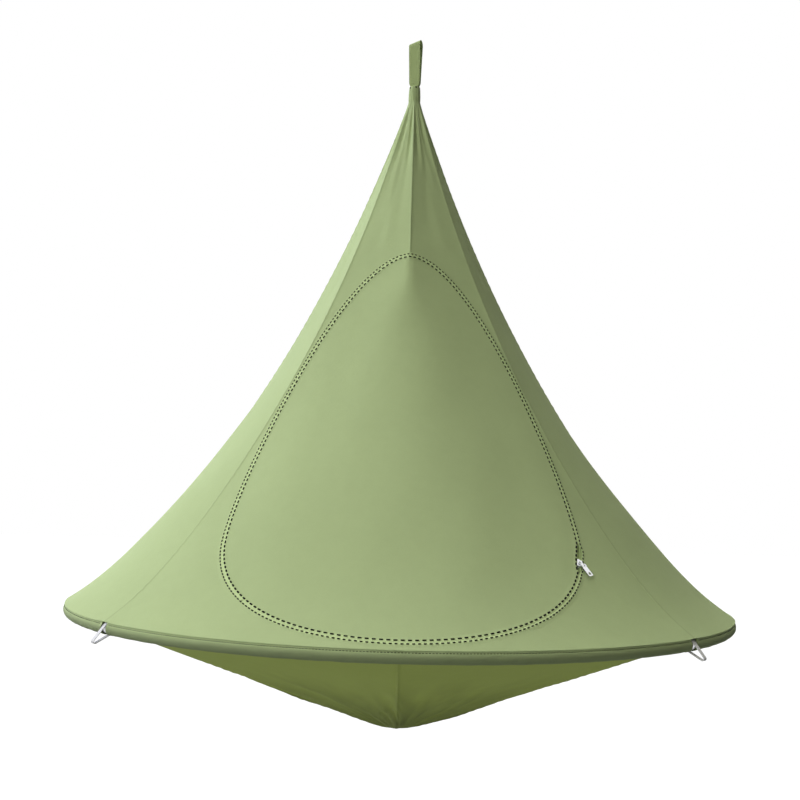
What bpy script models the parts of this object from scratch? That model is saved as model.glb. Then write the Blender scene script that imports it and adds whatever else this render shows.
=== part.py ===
"""Hanging tent: a canopy of eight gores and a bowl of eight gores, sewn to a
tubular hoop and hung from one webbing loop. A zipped door fills the front.

Metres, +Z up. The origin is the hanging eye, under the crest of the loop.
The door faces -Y. An azimuth of 0 looks along -Y and grows towards +X.
"""

import math

import bmesh
import bpy
from mathutils import Matrix, Vector

# Whole tent
HOOP_OUTER_RADIUS = 0.750
CANOPY_RISE = 1.238
BOWL_DEPTH = 0.2925
NECK_RADIUS = 0.014
NECK_LENGTH = 0.041
LOOP_DROP = 0.119
GORES = 8

# Neck collar over the gathered gores
COLLAR_GRIP = 0.012
COLLAR_LIP = 0.0011
COLLAR_SWELL = 0.0016
COLLAR_SWELL_RISE = 0.006
COLLAR_EDGE = 0.0020
COLLAR_BEVEL = 0.0012
COLLAR_CORE = 0.0020
COLLAR_SIDES = 24

# Canopy profile: an exponential sweep with an extra flare just above the hoop
SWEEP = 1.0205
FLARE = 0.0412
FLARE_HEIGHT = 0.0621
FLAT_START = 0.10
FLAT_FULL = 0.62
PLEAT_DEPTH = 0.10
PLEATS_PER_GORE = 2
PLEAT_START = 0.012
PLEAT_FULL = 0.050
PLEAT_FADE = 0.060
PLEAT_REACH = 0.22

# Bowl profile: a cone with a rounded tip, seams straight near it
BOWL_TIP_ROUNDNESS = 0.0562
BOWL_ROUND_FROM = 0.55
BOWL_TIP_RADIUS = 0.006

# Rows and columns of the cloth's grids
GORE_COLUMNS = 6
GORE_ROWS = 14
FRONT_GORE_ROWS = 18
GORE_ROW_SPREAD = 1.45
BOWL_ROWS = 5
BOWL_ROW_SPREAD = 1.6
STRAP_ROWS = 14
STRAP_ROW_SPREAD = 1.3

# Cloth, webbing and seams
CLOTH = 0.0008
GAP = 0.0003
WEB_WIDTH = 0.020
WEB_THICK = 0.0012
WEB_DEPTH = 0.0038
WEB_SEAT = 0.0030
WEB_TOP_GAP = 0.0010
WEB_DIVE = 0.30
BOWL_WEB_GAP = 0.0013
BOWL_WEB_SHORT = 0.0020

# Hoop of plug-in tubes inside a pole sleeve
TUBE_DIAMETER = 0.019
TUBE_WALL = 0.0015
PLUG_WALL = 0.0015
PLUG_LENGTH = 0.045
SLEEVE_WALL = 0.0012
SLEEVE_FIN = 0.0033
SLEEVE_FIN_ANGLE = math.radians(53.5)
HOOP_DROP = 0.010
SLEEVE_NOTCH = 0.018
BOWL_SEAM_DROP = 0.0020
TUBE_SIDES = 8

# Door: an outline of two curves a side, measured in the front view
DOOR_HALF_WIDTH = 0.3310
DOOR_WIDEST_HEIGHT = 0.1520
DOOR_TOP_HEIGHT = 0.788
DOOR_BOTTOM_HEIGHT = 0.0108
DOOR_BOTTOM_PULL = 0.1950
DOOR_CORNER_PULL = 0.1025
DOOR_SIDE_PULL = 0.1560
DOOR_TOP_PULL = 0.1420
DOOR_STEPS = 52
DOOR_RINGS = 5
DOOR_CREASE = math.radians(9.0)
CREASE_FADE = 0.22
CREASE_END = 0.02
DOOR_CENTRE = 0.42
HEM_SETBACK = 0.0068
DOORWAY_GORES = 2  # gores on each side of the front seam that a wide doorway reaches
DOORWAY_FRONT_CUT = 0.02
DOORWAY_BACK_CUT = 0.03

# Zip
TAPE_WIDTH = 0.0120
TAPE_THICK = 0.0008
TAPE_DEPTH = 0.0007
COIL_WIDTH = 0.0030
COIL_HEIGHT = 0.0015
ZIP_SLIT = 0.0004
POST_SLIT = 0.0032
ZIP_START_STEP = 46
ZIP_END_STEP = 6
STOP_WIDTH = 0.0042
STOP_LENGTH = 0.0024
STOP_HEIGHT = 0.0010
STOP_HALF_STEP = 0.1
START_STOP_STEP = 0.25
END_STOP_STEP = 0.9
COIL_GRIP = 0.0014
SILL_COVER = 0.0024
SILL_DEPTH = 0.0096
SLIDER_STEP = 8.41
SLIDER_TRAVEL = 0.025
SLIDER_ROOM = 0.0020

# Slider and pull
SLIDER_LENGTH = 0.017
SLIDER_WIDTH = 0.0104
SLIDER_PLATE = 0.0012
SLIDER_LIP = 0.0009
SLIDER_LIP_DEPTH = 0.0015
SLIDER_BEVEL = 0.0012
SLIDER_POST = 0.0012
SLIDER_POST_LENGTH = 0.0036
SLIDER_POST_SETBACK = 0.0004
SLIDER_WELD = 0.0004
STUD_HEAD_THICK = 0.0008
STUD_RADIUS = 0.0015
STUD_HEAD = 0.0024
LINK_LENGTH = 0.007
LINK_THICK = 0.0014
LINK_WIDTH = 0.0038
LINK_RIM = 0.0012
LINK_CLEARANCE = 0.0005
PIN_RADIUS = 0.0008
PIN_SHORT = 0.0008
PIN_SIDES = 10
PULL_LENGTH = 0.025
PULL_WIDTH = 0.0115
PULL_THICK = 0.0014
PULL_STANDOFF = 0.0026
PULL_EAR = 0.0016
PULL_EAR_THICK = 0.0030
PULL_SLOT_DEPTH = 0.0038
PULL_BEVEL = 0.0010
PULL_CORNER = 0.0015
PULL_WINDOW = (0.0050, 0.0055)
PULL_WINDOW_RIM = 0.0028
PULL_LEAN = math.radians(45.0)

# Hanging loop
LOOP_WIDTH = 0.030
LOOP_FOOT_WIDTH = 0.028
LOOP_ROOT_WIDTH = 0.021
LOOP_ROOT_DEPTH = 0.020
LOOP_THICK = 0.0016
LOOP_RADIUS = 0.011
LOOP_ROOT_RADIUS = 0.0030
LOOP_SPLIT_RADIUS = 0.0018
LOOP_SPLIT_DEPTH = 0.0010
LOOP_FLARE = 0.012
LOOP_CREST_STEPS = 10
LOOP_ROOT_STEPS = 6
LOOP_TURN = math.radians(-20.0)
LOOP_SLANT = math.radians(15.0)

# Tie loops on the hoop
TIE_WIDTH = 0.010
TIE_THICK = 0.0012
TIE_REACH = 0.034
TIE_END_RADIUS = 0.0030
TIE_DROOP = math.radians(38.0)
TIE_CLEARANCE = 0.0006
TIE_END_STEPS = 4

# How far a cutter runs past what it cuts
CUT_PAST = 0.010

# Worked out from the sizes above
SECTOR = 2 * math.pi / GORES
STEP = SECTOR / GORE_COLUMNS
TUBE_RADIUS = TUBE_DIAMETER / 2
SLEEVE_INNER = (TUBE_RADIUS + GAP) / math.cos(math.pi / TUBE_SIDES)
SLEEVE_OUTER = SLEEVE_INNER + SLEEVE_WALL
HOOP_RADIUS = HOOP_OUTER_RADIUS - SLEEVE_OUTER
EYE_HEIGHT = CANOPY_RISE + NECK_LENGTH + LOOP_DROP
CANOPY_EDGE = (SLEEVE_OUTER + SLEEVE_FIN) * math.sin(SLEEVE_FIN_ANGLE) - HOOP_DROP + GAP + CLOTH
BOWL_EDGE = HOOP_RADIUS - SLEEVE_OUTER - GAP
BOWL_EDGE_DROP = HOOP_DROP + BOWL_SEAM_DROP


def clear_scene():
    for item in list(bpy.data.objects):
        bpy.data.objects.remove(item, do_unlink=True)


def material(name, colour, roughness, metallic=0.0):
    made = bpy.data.materials.new(name)
    made.use_nodes = True
    shader = made.node_tree.nodes["Principled BSDF"]
    shader.inputs["Base Color"].default_value = (*colour, 1.0)
    shader.inputs["Roughness"].default_value = roughness
    shader.inputs["Metallic"].default_value = metallic
    made.diffuse_color = (*colour, 1.0)
    return made


def add_object(name, mesh_builder, look):
    """One named object from a bmesh, with outward faces."""
    bmesh.ops.recalc_face_normals(mesh_builder, faces=mesh_builder.faces)
    mesh = bpy.data.meshes.new(name)
    mesh_builder.to_mesh(mesh)
    mesh_builder.free()
    mesh.materials.append(look)
    mesh.shade_smooth()
    mesh.set_sharp_from_angle(angle=math.radians(38.0))
    made = bpy.data.objects.new(name, mesh)
    bpy.context.collection.objects.link(made)
    return made


def smoothstep(start, end, value):
    t = min(1.0, max(0.0, (value - start) / (end - start)))
    return t * t * (3 - 2 * t)


def lerp(a, b, t):
    return a + (b - a) * t


# Canopy surface


def canopy_radius(height):
    """Radius of the seams at a height over the rim plane."""
    drop = CANOPY_RISE - height
    body = HOOP_OUTER_RADIUS - NECK_RADIUS - FLARE
    sweep = (math.exp(SWEEP * drop / CANOPY_RISE) - 1) / (math.exp(SWEEP) - 1)
    return NECK_RADIUS + body * sweep + FLARE * math.exp(-height / FLARE_HEIGHT)


def canopy_slope(height):
    """Lean of the profile's outward normal over the horizontal."""
    nudge = 0.0005
    change = canopy_radius(height + nudge) - canopy_radius(height - nudge)
    return math.atan2(-change, 2 * nudge)


def section_factor(azimuth, height, crease=0.0):
    """Gores pull flat between their seams high up and follow the hoop low down.

    A crease above 0 rounds the corner at azimuth 0, where the door has no seam.
    """
    flat = smoothstep(FLAT_START, FLAT_FULL, height / CANOPY_RISE)
    turn = abs(azimuth)
    if turn < 2 * crease:
        turn = crease + turn * turn / (4 * crease)
    off_middle = (turn % SECTOR) - SECTOR / 2
    factor = (math.cos(SECTOR / 2) / math.cos(off_middle)) ** flat
    drop = CANOPY_RISE - height
    reach = smoothstep(PLEAT_START, PLEAT_FULL, drop)
    reach *= 1 - smoothstep(PLEAT_FADE, PLEAT_REACH, drop)
    wave = (1 - math.cos(2 * math.pi * PLEATS_PER_GORE * turn / SECTOR)) / 2
    return factor * (1 - PLEAT_DEPTH * reach * wave)


def canopy_point(azimuth, height, lift=0.0, crease=0.0):
    """A point of the canopy's outer face, lifted off it by lift."""
    slope = canopy_slope(height)
    radius = canopy_radius(height) * section_factor(azimuth, height, crease)
    radius += lift * math.cos(slope)
    level = height + lift * math.sin(slope) - EYE_HEIGHT
    return Vector((radius * math.sin(azimuth), -radius * math.cos(azimuth), level))


def bowl_height(radius):
    """Height of the bowl's outer face: a shallow cone with a rounded tip."""
    tip = BOWL_TIP_ROUNDNESS
    share = (radius / BOWL_EDGE) ** 2 + tip**2
    fall = (math.sqrt(1 + tip**2) - math.sqrt(share)) / (math.sqrt(1 + tip**2) - tip)
    return -BOWL_EDGE_DROP - (BOWL_DEPTH - BOWL_EDGE_DROP) * fall


def bowl_point(azimuth, radius, lift=0.0):
    """A point of the bowl's outer face, lifted off it, down being positive."""
    off_middle = (azimuth % SECTOR) - SECTOR / 2
    flat = 1 - smoothstep(BOWL_ROUND_FROM, 1.0, radius / BOWL_EDGE)
    reach = radius * (math.cos(SECTOR / 2) / math.cos(off_middle)) ** flat
    level = bowl_height(radius) - lift - EYE_HEIGHT
    return Vector((reach * math.sin(azimuth), -reach * math.cos(azimuth), level))


# Mesh builders


def add_shell(builder, outer, inner):
    """A closed sheet from two grids of points, rows by columns.

    Both faces are split along the same diagonals, so a bent cell keeps its wall.
    """
    rows = len(outer)
    columns = len(outer[0])
    top = [[builder.verts.new(p) for p in row] for row in outer]
    under = [[builder.verts.new(p) for p in row] for row in inner]
    for r in range(rows - 1):
        for c in range(columns - 1):
            a, b, d, e = top[r][c], top[r][c + 1], top[r + 1][c + 1], top[r + 1][c]
            builder.faces.new((a, b, d))
            builder.faces.new((a, d, e))
            a, b, d, e = under[r][c], under[r][c + 1], under[r + 1][c + 1], under[r + 1][c]
            builder.faces.new((d, b, a))
            builder.faces.new((e, d, a))
    for r in range(rows - 1):
        builder.faces.new((top[r][0], top[r + 1][0], under[r + 1][0], under[r][0]))
        builder.faces.new((top[r + 1][-1], top[r][-1], under[r][-1], under[r + 1][-1]))
    for c in range(columns - 1):
        builder.faces.new((top[0][c + 1], top[0][c], under[0][c], under[0][c + 1]))
        builder.faces.new((top[-1][c], top[-1][c + 1], under[-1][c + 1], under[-1][c]))


def add_loft(builder, rings):
    """A tube with a bore from rings of points that go out, round and back in.

    Each ring is a closed section; the last joins the first, so the tube's
    outer side, its end faces and its bore make one closed skin.
    """
    rows = [[builder.verts.new(p) for p in ring] for ring in rings]
    sides = len(rows[0])
    for r, row in enumerate(rows):
        following = rows[(r + 1) % len(rows)]
        for s in range(sides):
            t = (s + 1) % sides
            builder.faces.new((row[s], row[t], following[t], following[s]))


def add_prism(builder, outline, direction):
    """An outline of points swept along a direction."""
    near = [builder.verts.new(p) for p in outline]
    far = [builder.verts.new(p + direction) for p in outline]
    builder.faces.new(near)
    builder.faces.new(list(reversed(far)))
    for i, point in enumerate(near):
        j = (i + 1) % len(near)
        builder.faces.new((point, far[i], far[j], near[j]))


def add_box(builder, frame, low, high):
    """A box between two corners, in the axes of a frame."""
    corners = []
    for z in (low[2], high[2]):
        for x, y in ((low[0], low[1]), (high[0], low[1]), (high[0], high[1]), (low[0], high[1])):
            corners.append(builder.verts.new(frame @ Vector((x, y, z))))
    for face in ((0, 3, 2, 1), (4, 5, 6, 7), (0, 1, 5, 4), (1, 2, 6, 5), (2, 3, 7, 6), (3, 0, 4, 7)):
        builder.faces.new([corners[i] for i in face])


def belt(far, far_radius, near_radius, far_steps, near_steps):
    """Outline round two circles: one at (0, 0) and one at (far, 0)."""
    lean = math.acos((near_radius - far_radius) / far)
    points = []
    for i in range(near_steps + 1):
        angle = lerp(lean, 2 * math.pi - lean, i / near_steps)
        points.append((near_radius * math.cos(angle), near_radius * math.sin(angle)))
    for i in range(far_steps + 1):
        angle = lerp(-lean, lean, i / far_steps)
        points.append((far + far_radius * math.cos(angle), far_radius * math.sin(angle)))
    return points


def add_band(builder, outer, inner, place):
    """A webbing loop: two outlines with as many points, swept across its width.

    place turns an outline's point and a side of -1 or 1 into a position.
    """
    rings = []
    for outline, side in ((outer, -1), (outer, 1), (inner, 1), (inner, -1)):
        rings.append([builder.verts.new(place(point, side)) for point in outline])
    count = len(outer)
    for r in range(4):
        for i in range(count):
            j = (i + 1) % count
            a, b = rings[r], rings[(r + 1) % 4]
            builder.faces.new((a[i], a[j], b[j], b[i]))


# Cloth shells


def gore_heights(rows):
    """Heights from the hoop seam to the neck, close together in the flare."""
    shares = [(i / rows) ** GORE_ROW_SPREAD for i in range(rows + 1)]
    return [lerp(CANOPY_EDGE, CANOPY_RISE, share) for share in shares]


def canopy_gore(index, name, look, columns, rows):
    middle = (index + 0.5) * SECTOR
    outer = []
    inner = []
    for height in gore_heights(rows):
        half = SECTOR / 2 - (GAP / 2) / canopy_radius(height)
        turns = [middle + lerp(-half, half, c / columns) for c in range(columns + 1)]
        outer.append([canopy_point(turn, height) for turn in turns])
        inner.append([canopy_point(turn, height, -CLOTH) for turn in turns])
    builder = bmesh.new()
    add_shell(builder, outer, inner)
    return add_object(name, builder, look)


def bowl_radii():
    """Rows of the bowl from the hub of its webbing to the hoop seam."""
    hub = WEB_WIDTH / 2 / math.sin(SECTOR / 2)
    shares = [(i / BOWL_ROWS) ** BOWL_ROW_SPREAD for i in range(BOWL_ROWS + 1)]
    return [lerp(hub, BOWL_EDGE, share) for share in shares]


def bowl_gore(index, name, look):
    middle = (index + 0.5) * SECTOR
    outer = []
    inner = []
    for radius in [BOWL_TIP_RADIUS] + bowl_radii():
        half = SECTOR / 2 - (GAP / 2) / radius
        turns = [middle + lerp(-half, half, c / GORE_COLUMNS) for c in range(GORE_COLUMNS + 1)]
        outer.append([bowl_point(turn, radius) for turn in turns])
        inner.append([bowl_point(turn, radius, -CLOTH) for turn in turns])
    builder = bmesh.new()
    add_shell(builder, outer, inner)
    return add_object(name, builder, look)


def canopy_strap(index, name, look):
    """Load webbing inside a seam, folded narrower where the neck gathers it."""
    seam = index * SECTOR
    foot = CANOPY_EDGE + WEB_SEAT
    foot_depth = WEB_DEPTH
    if index == 0:
        foot = DOOR_TOP_HEIGHT + TAPE_WIDTH + WEB_SEAT
        foot_depth = CLOTH + 2 * GAP
    outer = []
    inner = []
    for i in range(STRAP_ROWS + 1):
        share = i / STRAP_ROWS
        height = lerp(foot, CANOPY_RISE - WEB_TOP_GAP, share**STRAP_ROW_SPREAD)
        depth = lerp(foot_depth, WEB_DEPTH, smoothstep(0.0, WEB_DIVE, share))
        room = (canopy_radius(height) - depth - WEB_THICK) * math.tan(SECTOR / 2) - 2 * GAP
        half = min(WEB_WIDTH / 2, room) / canopy_radius(height)
        turns = (seam - half, seam, seam + half)
        outer.append([canopy_point(turn, height, -depth) for turn in turns])
        inner.append([canopy_point(turn, height, -depth - WEB_THICK) for turn in turns])
    builder = bmesh.new()
    add_shell(builder, outer, inner)
    return add_object(name, builder, look)


def bowl_webbing(name, look):
    """Eight arms of webbing from the hoop seam, sewn together over the tip."""
    lift = CLOTH + BOWL_WEB_GAP
    radii = bowl_radii()
    radii[-1] -= BOWL_WEB_SHORT
    builder = bmesh.new()
    centre_under = builder.verts.new(bowl_point(0.0, 0.0, -lift))
    centre_over = builder.verts.new(bowl_point(0.0, 0.0, -lift - WEB_THICK))
    first_under = []
    first_over = []
    for arm in range(GORES):
        seam = arm * SECTOR
        previous = None
        for i, radius in enumerate(radii):
            half = math.asin(WEB_WIDTH / 2 / radius) if i else SECTOR / 2
            under = []
            over = []
            for turn in (seam - half, seam, seam + half):
                under.append(bowl_point(turn, radius, -lift))
                over.append(bowl_point(turn, radius, -lift - WEB_THICK))
            if i == 0:
                under = [star_vertex(builder, first_under, p) for p in under]
                over = [star_vertex(builder, first_over, p) for p in over]
            else:
                under = [builder.verts.new(p) for p in under]
                over = [builder.verts.new(p) for p in over]
            if previous:
                add_ribbon_cell(builder, previous, (under, over))
            previous = (under, over)
        under, over = previous
        for c in (0, 1):
            builder.faces.new((under[c], under[c + 1], over[c + 1], over[c]))
    for points, centre in ((first_under, centre_under), (first_over, centre_over)):
        ordered = sorted(points, key=lambda v: math.atan2(v.co.x, -v.co.y))
        for i, vertex in enumerate(ordered):
            builder.faces.new((centre, vertex, ordered[(i + 1) % len(ordered)]))
    return add_object(name, builder, look)


def star_vertex(builder, made, position):
    """The hub vertex at a position, shared between neighbouring arms."""
    for vertex in made:
        if (vertex.co - position).length < GAP / 10:
            return vertex
    vertex = builder.verts.new(position)
    made.append(vertex)
    return vertex


def add_ribbon_cell(builder, start, end):
    """One length of a ribbon of two strips, open at both ends."""
    (under_a, over_a), (under_b, over_b) = start, end
    for c in (0, 1):
        builder.faces.new((under_a[c], under_a[c + 1], under_b[c + 1], under_b[c]))
        builder.faces.new((over_a[c + 1], over_a[c], over_b[c], over_b[c + 1]))
    builder.faces.new((under_a[0], under_b[0], over_b[0], over_a[0]))
    builder.faces.new((under_b[2], under_a[2], over_a[2], over_b[2]))


# Hoop and sleeve


def hoop_reach(azimuth):
    """How far the hoop's facets pull a section in between the grid's angles."""
    off_middle = (azimuth % STEP) - STEP / 2
    return math.cos(STEP / 2) / math.cos(off_middle)


def hoop_point(azimuth, angle, distance):
    """A point round the hoop's tube; angle 0 points out and 90 degrees up."""
    radius = (HOOP_RADIUS + distance * math.cos(angle)) * hoop_reach(azimuth)
    level = distance * math.sin(angle) - HOOP_DROP - EYE_HEIGHT
    return Vector((radius * math.sin(azimuth), -radius * math.cos(azimuth), level))


def tube_angles():
    return [2 * math.pi * s / TUBE_SIDES for s in range(TUBE_SIDES)]


def tube_ring(azimuth, radius):
    return [hoop_point(azimuth, angle, radius) for angle in tube_angles()]


def hoop_tube(index, name, look):
    """A bent tube with its plug: the plug enters the next tube's bore."""
    start = (index + 0.5) * SECTOR + GAP / HOOP_RADIUS
    end = (index + 1.5) * SECTOR
    bore = TUBE_RADIUS - TUBE_WALL
    plug = (bore - GAP) * math.cos(math.pi / TUBE_SIDES)
    plug_bore = plug - PLUG_WALL
    plug_angle = PLUG_LENGTH / HOOP_RADIUS
    inside = grid_angles(start, end)
    rings = [tube_ring(a, TUBE_RADIUS) for a in inside]
    rings.append(tube_ring(end, plug))
    rings.append(tube_ring(end + plug_angle, plug))
    rings.append(tube_ring(end + plug_angle, plug_bore))
    rings.append(tube_ring(end, plug_bore))
    rings.append(tube_ring(end - STEP / 2, plug_bore))
    rings.append(tube_ring(end - STEP / 2, bore))
    rings.extend(tube_ring(a, bore) for a in reversed(inside) if a < end - STEP / 2)
    builder = bmesh.new()
    add_loft(builder, rings)
    return add_object(name, builder, look)


def grid_angles(start, end):
    """The hoop grid's angles between two azimuths, both ends included."""
    angles = [start]
    k = math.floor(start / STEP + 1e-6) + 1
    while k * STEP < end - 1e-6:
        angles.append(k * STEP)
        k += 1
    angles.append(end)
    return angles


def sleeve_ring(azimuth):
    """Section of the sleeve: round, with a sewn fin up to the canopy."""
    points = []
    for angle in tube_angles():
        points.append(hoop_point(azimuth, angle, SLEEVE_OUTER))
    fin = min(range(TUBE_SIDES), key=lambda s: abs(tube_angles()[s] - SLEEVE_FIN_ANGLE))
    points[fin] = hoop_point(azimuth, SLEEVE_FIN_ANGLE, SLEEVE_OUTER + SLEEVE_FIN)
    return points


def sleeve(index, name, look):
    """A quarter of the sleeve, cut back at both ends to bare the tie loops."""
    notch = SLEEVE_NOTCH / 2 / HOOP_RADIUS
    start = (2 * index - 1) * SECTOR + notch
    end = (2 * index + 1) * SECTOR - notch
    angles = grid_angles(start, end)
    rings = [sleeve_ring(a) for a in angles]
    rings.extend(tube_ring(a, SLEEVE_INNER) for a in reversed(angles))
    builder = bmesh.new()
    add_loft(builder, rings)
    return add_object(name, builder, look)


def tie_frame(azimuth):
    """Axes of a tie loop: along the loop, across it in the plane, and its width."""
    out = Vector((math.sin(azimuth), -math.cos(azimuth), 0.0))
    along = out * math.cos(TIE_DROOP) - Vector((0.0, 0.0, 1.0)) * math.sin(TIE_DROOP)
    width = Vector((math.cos(azimuth), math.sin(azimuth), 0.0))
    across = width.cross(along)
    centre = hoop_point(azimuth, 0.0, 0.0)
    return centre, along, across, width


def tie_loop(azimuth, name, look):
    steps = 14
    hole = (TUBE_RADIUS + TIE_CLEARANCE) / math.cos(math.pi / (steps + TIE_END_STEPS))
    inner = belt(TIE_REACH, TIE_END_RADIUS, hole, TIE_END_STEPS, steps)
    outer = belt(TIE_REACH, TIE_END_RADIUS + TIE_THICK, hole + TIE_THICK, TIE_END_STEPS, steps)
    centre, along, across, width = tie_frame(azimuth)

    def place(point, side):
        return centre + along * point[0] + across * point[1] + width * (side * TIE_WIDTH / 2)

    builder = bmesh.new()
    add_band(builder, outer, inner, place)
    return add_object(name, builder, look)


# Hanging loop and neck


def loop_frame():
    """Axes of the hanging loop: its width and the way its legs part."""
    width = Vector((math.cos(LOOP_TURN), math.sin(LOOP_TURN), 0.0))
    part = Vector((-math.sin(LOOP_TURN), math.cos(LOOP_TURN), 0.0))
    return width, part


def hanging_loop(name, look):
    """A webbing loop whose legs close up and go down into the neck."""
    width, part = loop_frame()
    crest = LOOP_RADIUS - LOOP_THICK
    far = LOOP_ROOT_DEPTH + LOOP_DROP - crest
    split = LOOP_ROOT_DEPTH - LOOP_SPLIT_DEPTH
    bends = [LOOP_ROOT_DEPTH + LOOP_FLARE * share for share in (-0.03, 0.5, 1.03, 5.0)]
    steps = (LOOP_CREST_STEPS, LOOP_ROOT_STEPS)
    outer = add_leg_points(belt(far, LOOP_RADIUS, LOOP_ROOT_RADIUS, *steps), bends)
    inner = belt(far - split, crest, LOOP_SPLIT_RADIUS, *steps)
    inner = add_leg_points([(x + split, y) for x, y in inner], bends)

    def place(point, side):
        rise, off = point[0] - LOOP_ROOT_DEPTH, point[1]
        share = smoothstep(0.0, LOOP_DROP, rise)
        half = lerp(LOOP_FOOT_WIDTH, LOOP_WIDTH, share)
        half = lerp(LOOP_ROOT_WIDTH, half, smoothstep(0.0, LOOP_FLARE, rise)) / 2 * side
        level = rise - LOOP_DROP + half * math.tan(LOOP_SLANT) * share
        return width * half + part * off + Vector((0.0, 0.0, level))

    builder = bmesh.new()
    add_band(builder, outer, inner, place)
    return add_object(name, builder, look)


def add_leg_points(outline, stations):
    """More points on both straight legs of a belt, where the webbing bends."""
    count = len(outline)
    points = []
    for i, point in enumerate(outline):
        points.append(point)
        after = outline[(i + 1) % count]
        low, high = sorted((point[0], after[0]))
        inside = [x for x in stations if low < x < high]
        for x in inside if point[0] < after[0] else reversed(inside):
            points.append((x, lerp(point[1], after[1], (x - point[0]) / (after[0] - point[0]))))
    return points


def neck_collar(name, look):
    """The bound neck: it grips the gathered gores and holds the loop's root."""
    levels = [CANOPY_RISE - COLLAR_GRIP, CANOPY_RISE - COLLAR_GRIP / 2, CANOPY_RISE]
    top = CANOPY_RISE + NECK_LENGTH
    inner = [(canopy_radius(h) + GAP, h) for h in levels]
    inner.append((COLLAR_CORE, CANOPY_RISE + GAP))
    outer = [
        (inner[0][0] + COLLAR_LIP, levels[0]),
        (inner[1][0] + COLLAR_LIP, levels[1]),
        (NECK_RADIUS + COLLAR_SWELL, CANOPY_RISE + COLLAR_SWELL_RISE),
        (NECK_RADIUS, top - COLLAR_EDGE),
        (NECK_RADIUS - COLLAR_BEVEL, top),
    ]
    builder = bmesh.new()
    rings = []
    for radius, level in list(reversed(inner)) + outer:
        ring = []
        for s in range(COLLAR_SIDES):
            angle = 2 * math.pi * s / COLLAR_SIDES
            position = (radius * math.cos(angle), radius * math.sin(angle), level - EYE_HEIGHT)
            ring.append(builder.verts.new(position))
        rings.append(ring)
    for a, b in zip(rings, rings[1:]):
        for s in range(COLLAR_SIDES):
            t = (s + 1) % COLLAR_SIDES
            builder.faces.new((a[s], a[t], b[t], b[s]))
    builder.faces.new(rings[0])
    builder.faces.new(rings[-1])
    collar = add_object(name, builder, look)
    spread = (LOOP_RADIUS - LOOP_ROOT_RADIUS) * LOOP_ROOT_DEPTH / (LOOP_ROOT_DEPTH + LOOP_DROP)
    half_gap = LOOP_ROOT_RADIUS + spread + 2 * GAP
    half_width = LOOP_ROOT_WIDTH / 2 + GAP
    floor = -LOOP_ROOT_DEPTH - LOOP_ROOT_RADIUS - GAP
    frame = Matrix.Translation((0.0, 0.0, -LOOP_DROP)) @ Matrix.Rotation(LOOP_TURN, 4, "Z")
    pocket = bmesh.new()
    add_box(pocket, frame, (-half_width, -half_gap, floor), (half_width, half_gap, CUT_PAST))
    cut(collar, cutter_object("neck_pocket_cutter", pocket))
    return collar


def cutter_object(name, builder):
    bmesh.ops.recalc_face_normals(builder, faces=builder.faces)
    mesh = bpy.data.meshes.new(name)
    builder.to_mesh(mesh)
    builder.free()
    made = bpy.data.objects.new(name, mesh)
    made.display_type = "WIRE"
    made.hide_render = True
    bpy.context.collection.objects.link(made)
    return made


def cut(target, cutter):
    step = target.modifiers.new(cutter.name, "BOOLEAN")
    step.operation = "DIFFERENCE"
    step.solver = "EXACT"
    step.object = cutter


# Door and zip


def bezier(a, b, c, d, t):
    s = 1 - t
    return tuple(
        s**3 * a[i] + 3 * s * s * t * b[i] + 3 * s * t * t * c[i] + t**3 * d[i] for i in (0, 1)
    )


def door_outline():
    """Zip line in the front view: (x, height) from the foot, right side first."""
    foot = (0.0, DOOR_BOTTOM_HEIGHT)
    side = (DOOR_HALF_WIDTH, DOOR_WIDEST_HEIGHT)
    top = (0.0, DOOR_TOP_HEIGHT)
    fine = 200
    lower = [foot, (DOOR_BOTTOM_PULL, foot[1]), (side[0], side[1] - DOOR_CORNER_PULL), side]
    upper = [side, (side[0], side[1] + DOOR_SIDE_PULL), (DOOR_TOP_PULL, top[1]), top]
    path = [bezier(*lower, i / fine) for i in range(fine)]
    path += [bezier(*upper, i / fine) for i in range(fine + 1)]
    lengths = [0.0]
    for a, b in zip(path, path[1:]):
        lengths.append(lengths[-1] + math.dist(a, b))
    half = DOOR_STEPS // 2
    right = []
    k = 0
    for i in range(half + 1):
        target = lengths[-1] * i / half
        while lengths[k + 1] < target and k < len(path) - 2:
            k += 1
        share = (target - lengths[k]) / (lengths[k + 1] - lengths[k])
        right.append((lerp(path[k][0], path[k + 1][0], share), lerp(path[k][1], path[k + 1][1], share)))
    left = [(-x, h) for x, h in reversed(right[1:-1])]
    return right + left


def door_crease(height):
    """The door's middle rounds off below its top, where it has no seam."""
    start, end = DOOR_TOP_HEIGHT - CREASE_FADE, DOOR_TOP_HEIGHT - CREASE_END
    return DOOR_CREASE * (1 - smoothstep(start, end, height))


def front_point(x, height, lift):
    """The canopy point that the front view shows at x and a height."""
    crease = door_crease(height)
    azimuth = 0.0
    for _ in range(8):
        reach = canopy_radius(height) * section_factor(azimuth, height, crease)
        azimuth = math.asin(max(-1.0, min(1.0, x / reach)))
    return canopy_point(azimuth, height, lift, crease)


def surface_normal(x, height):
    step = 0.002
    across = front_point(x + step, height, 0.0) - front_point(x - step, height, 0.0)
    up = front_point(x, height + step, 0.0) - front_point(x, height - step, 0.0)
    return across.cross(up).normalized()


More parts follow.
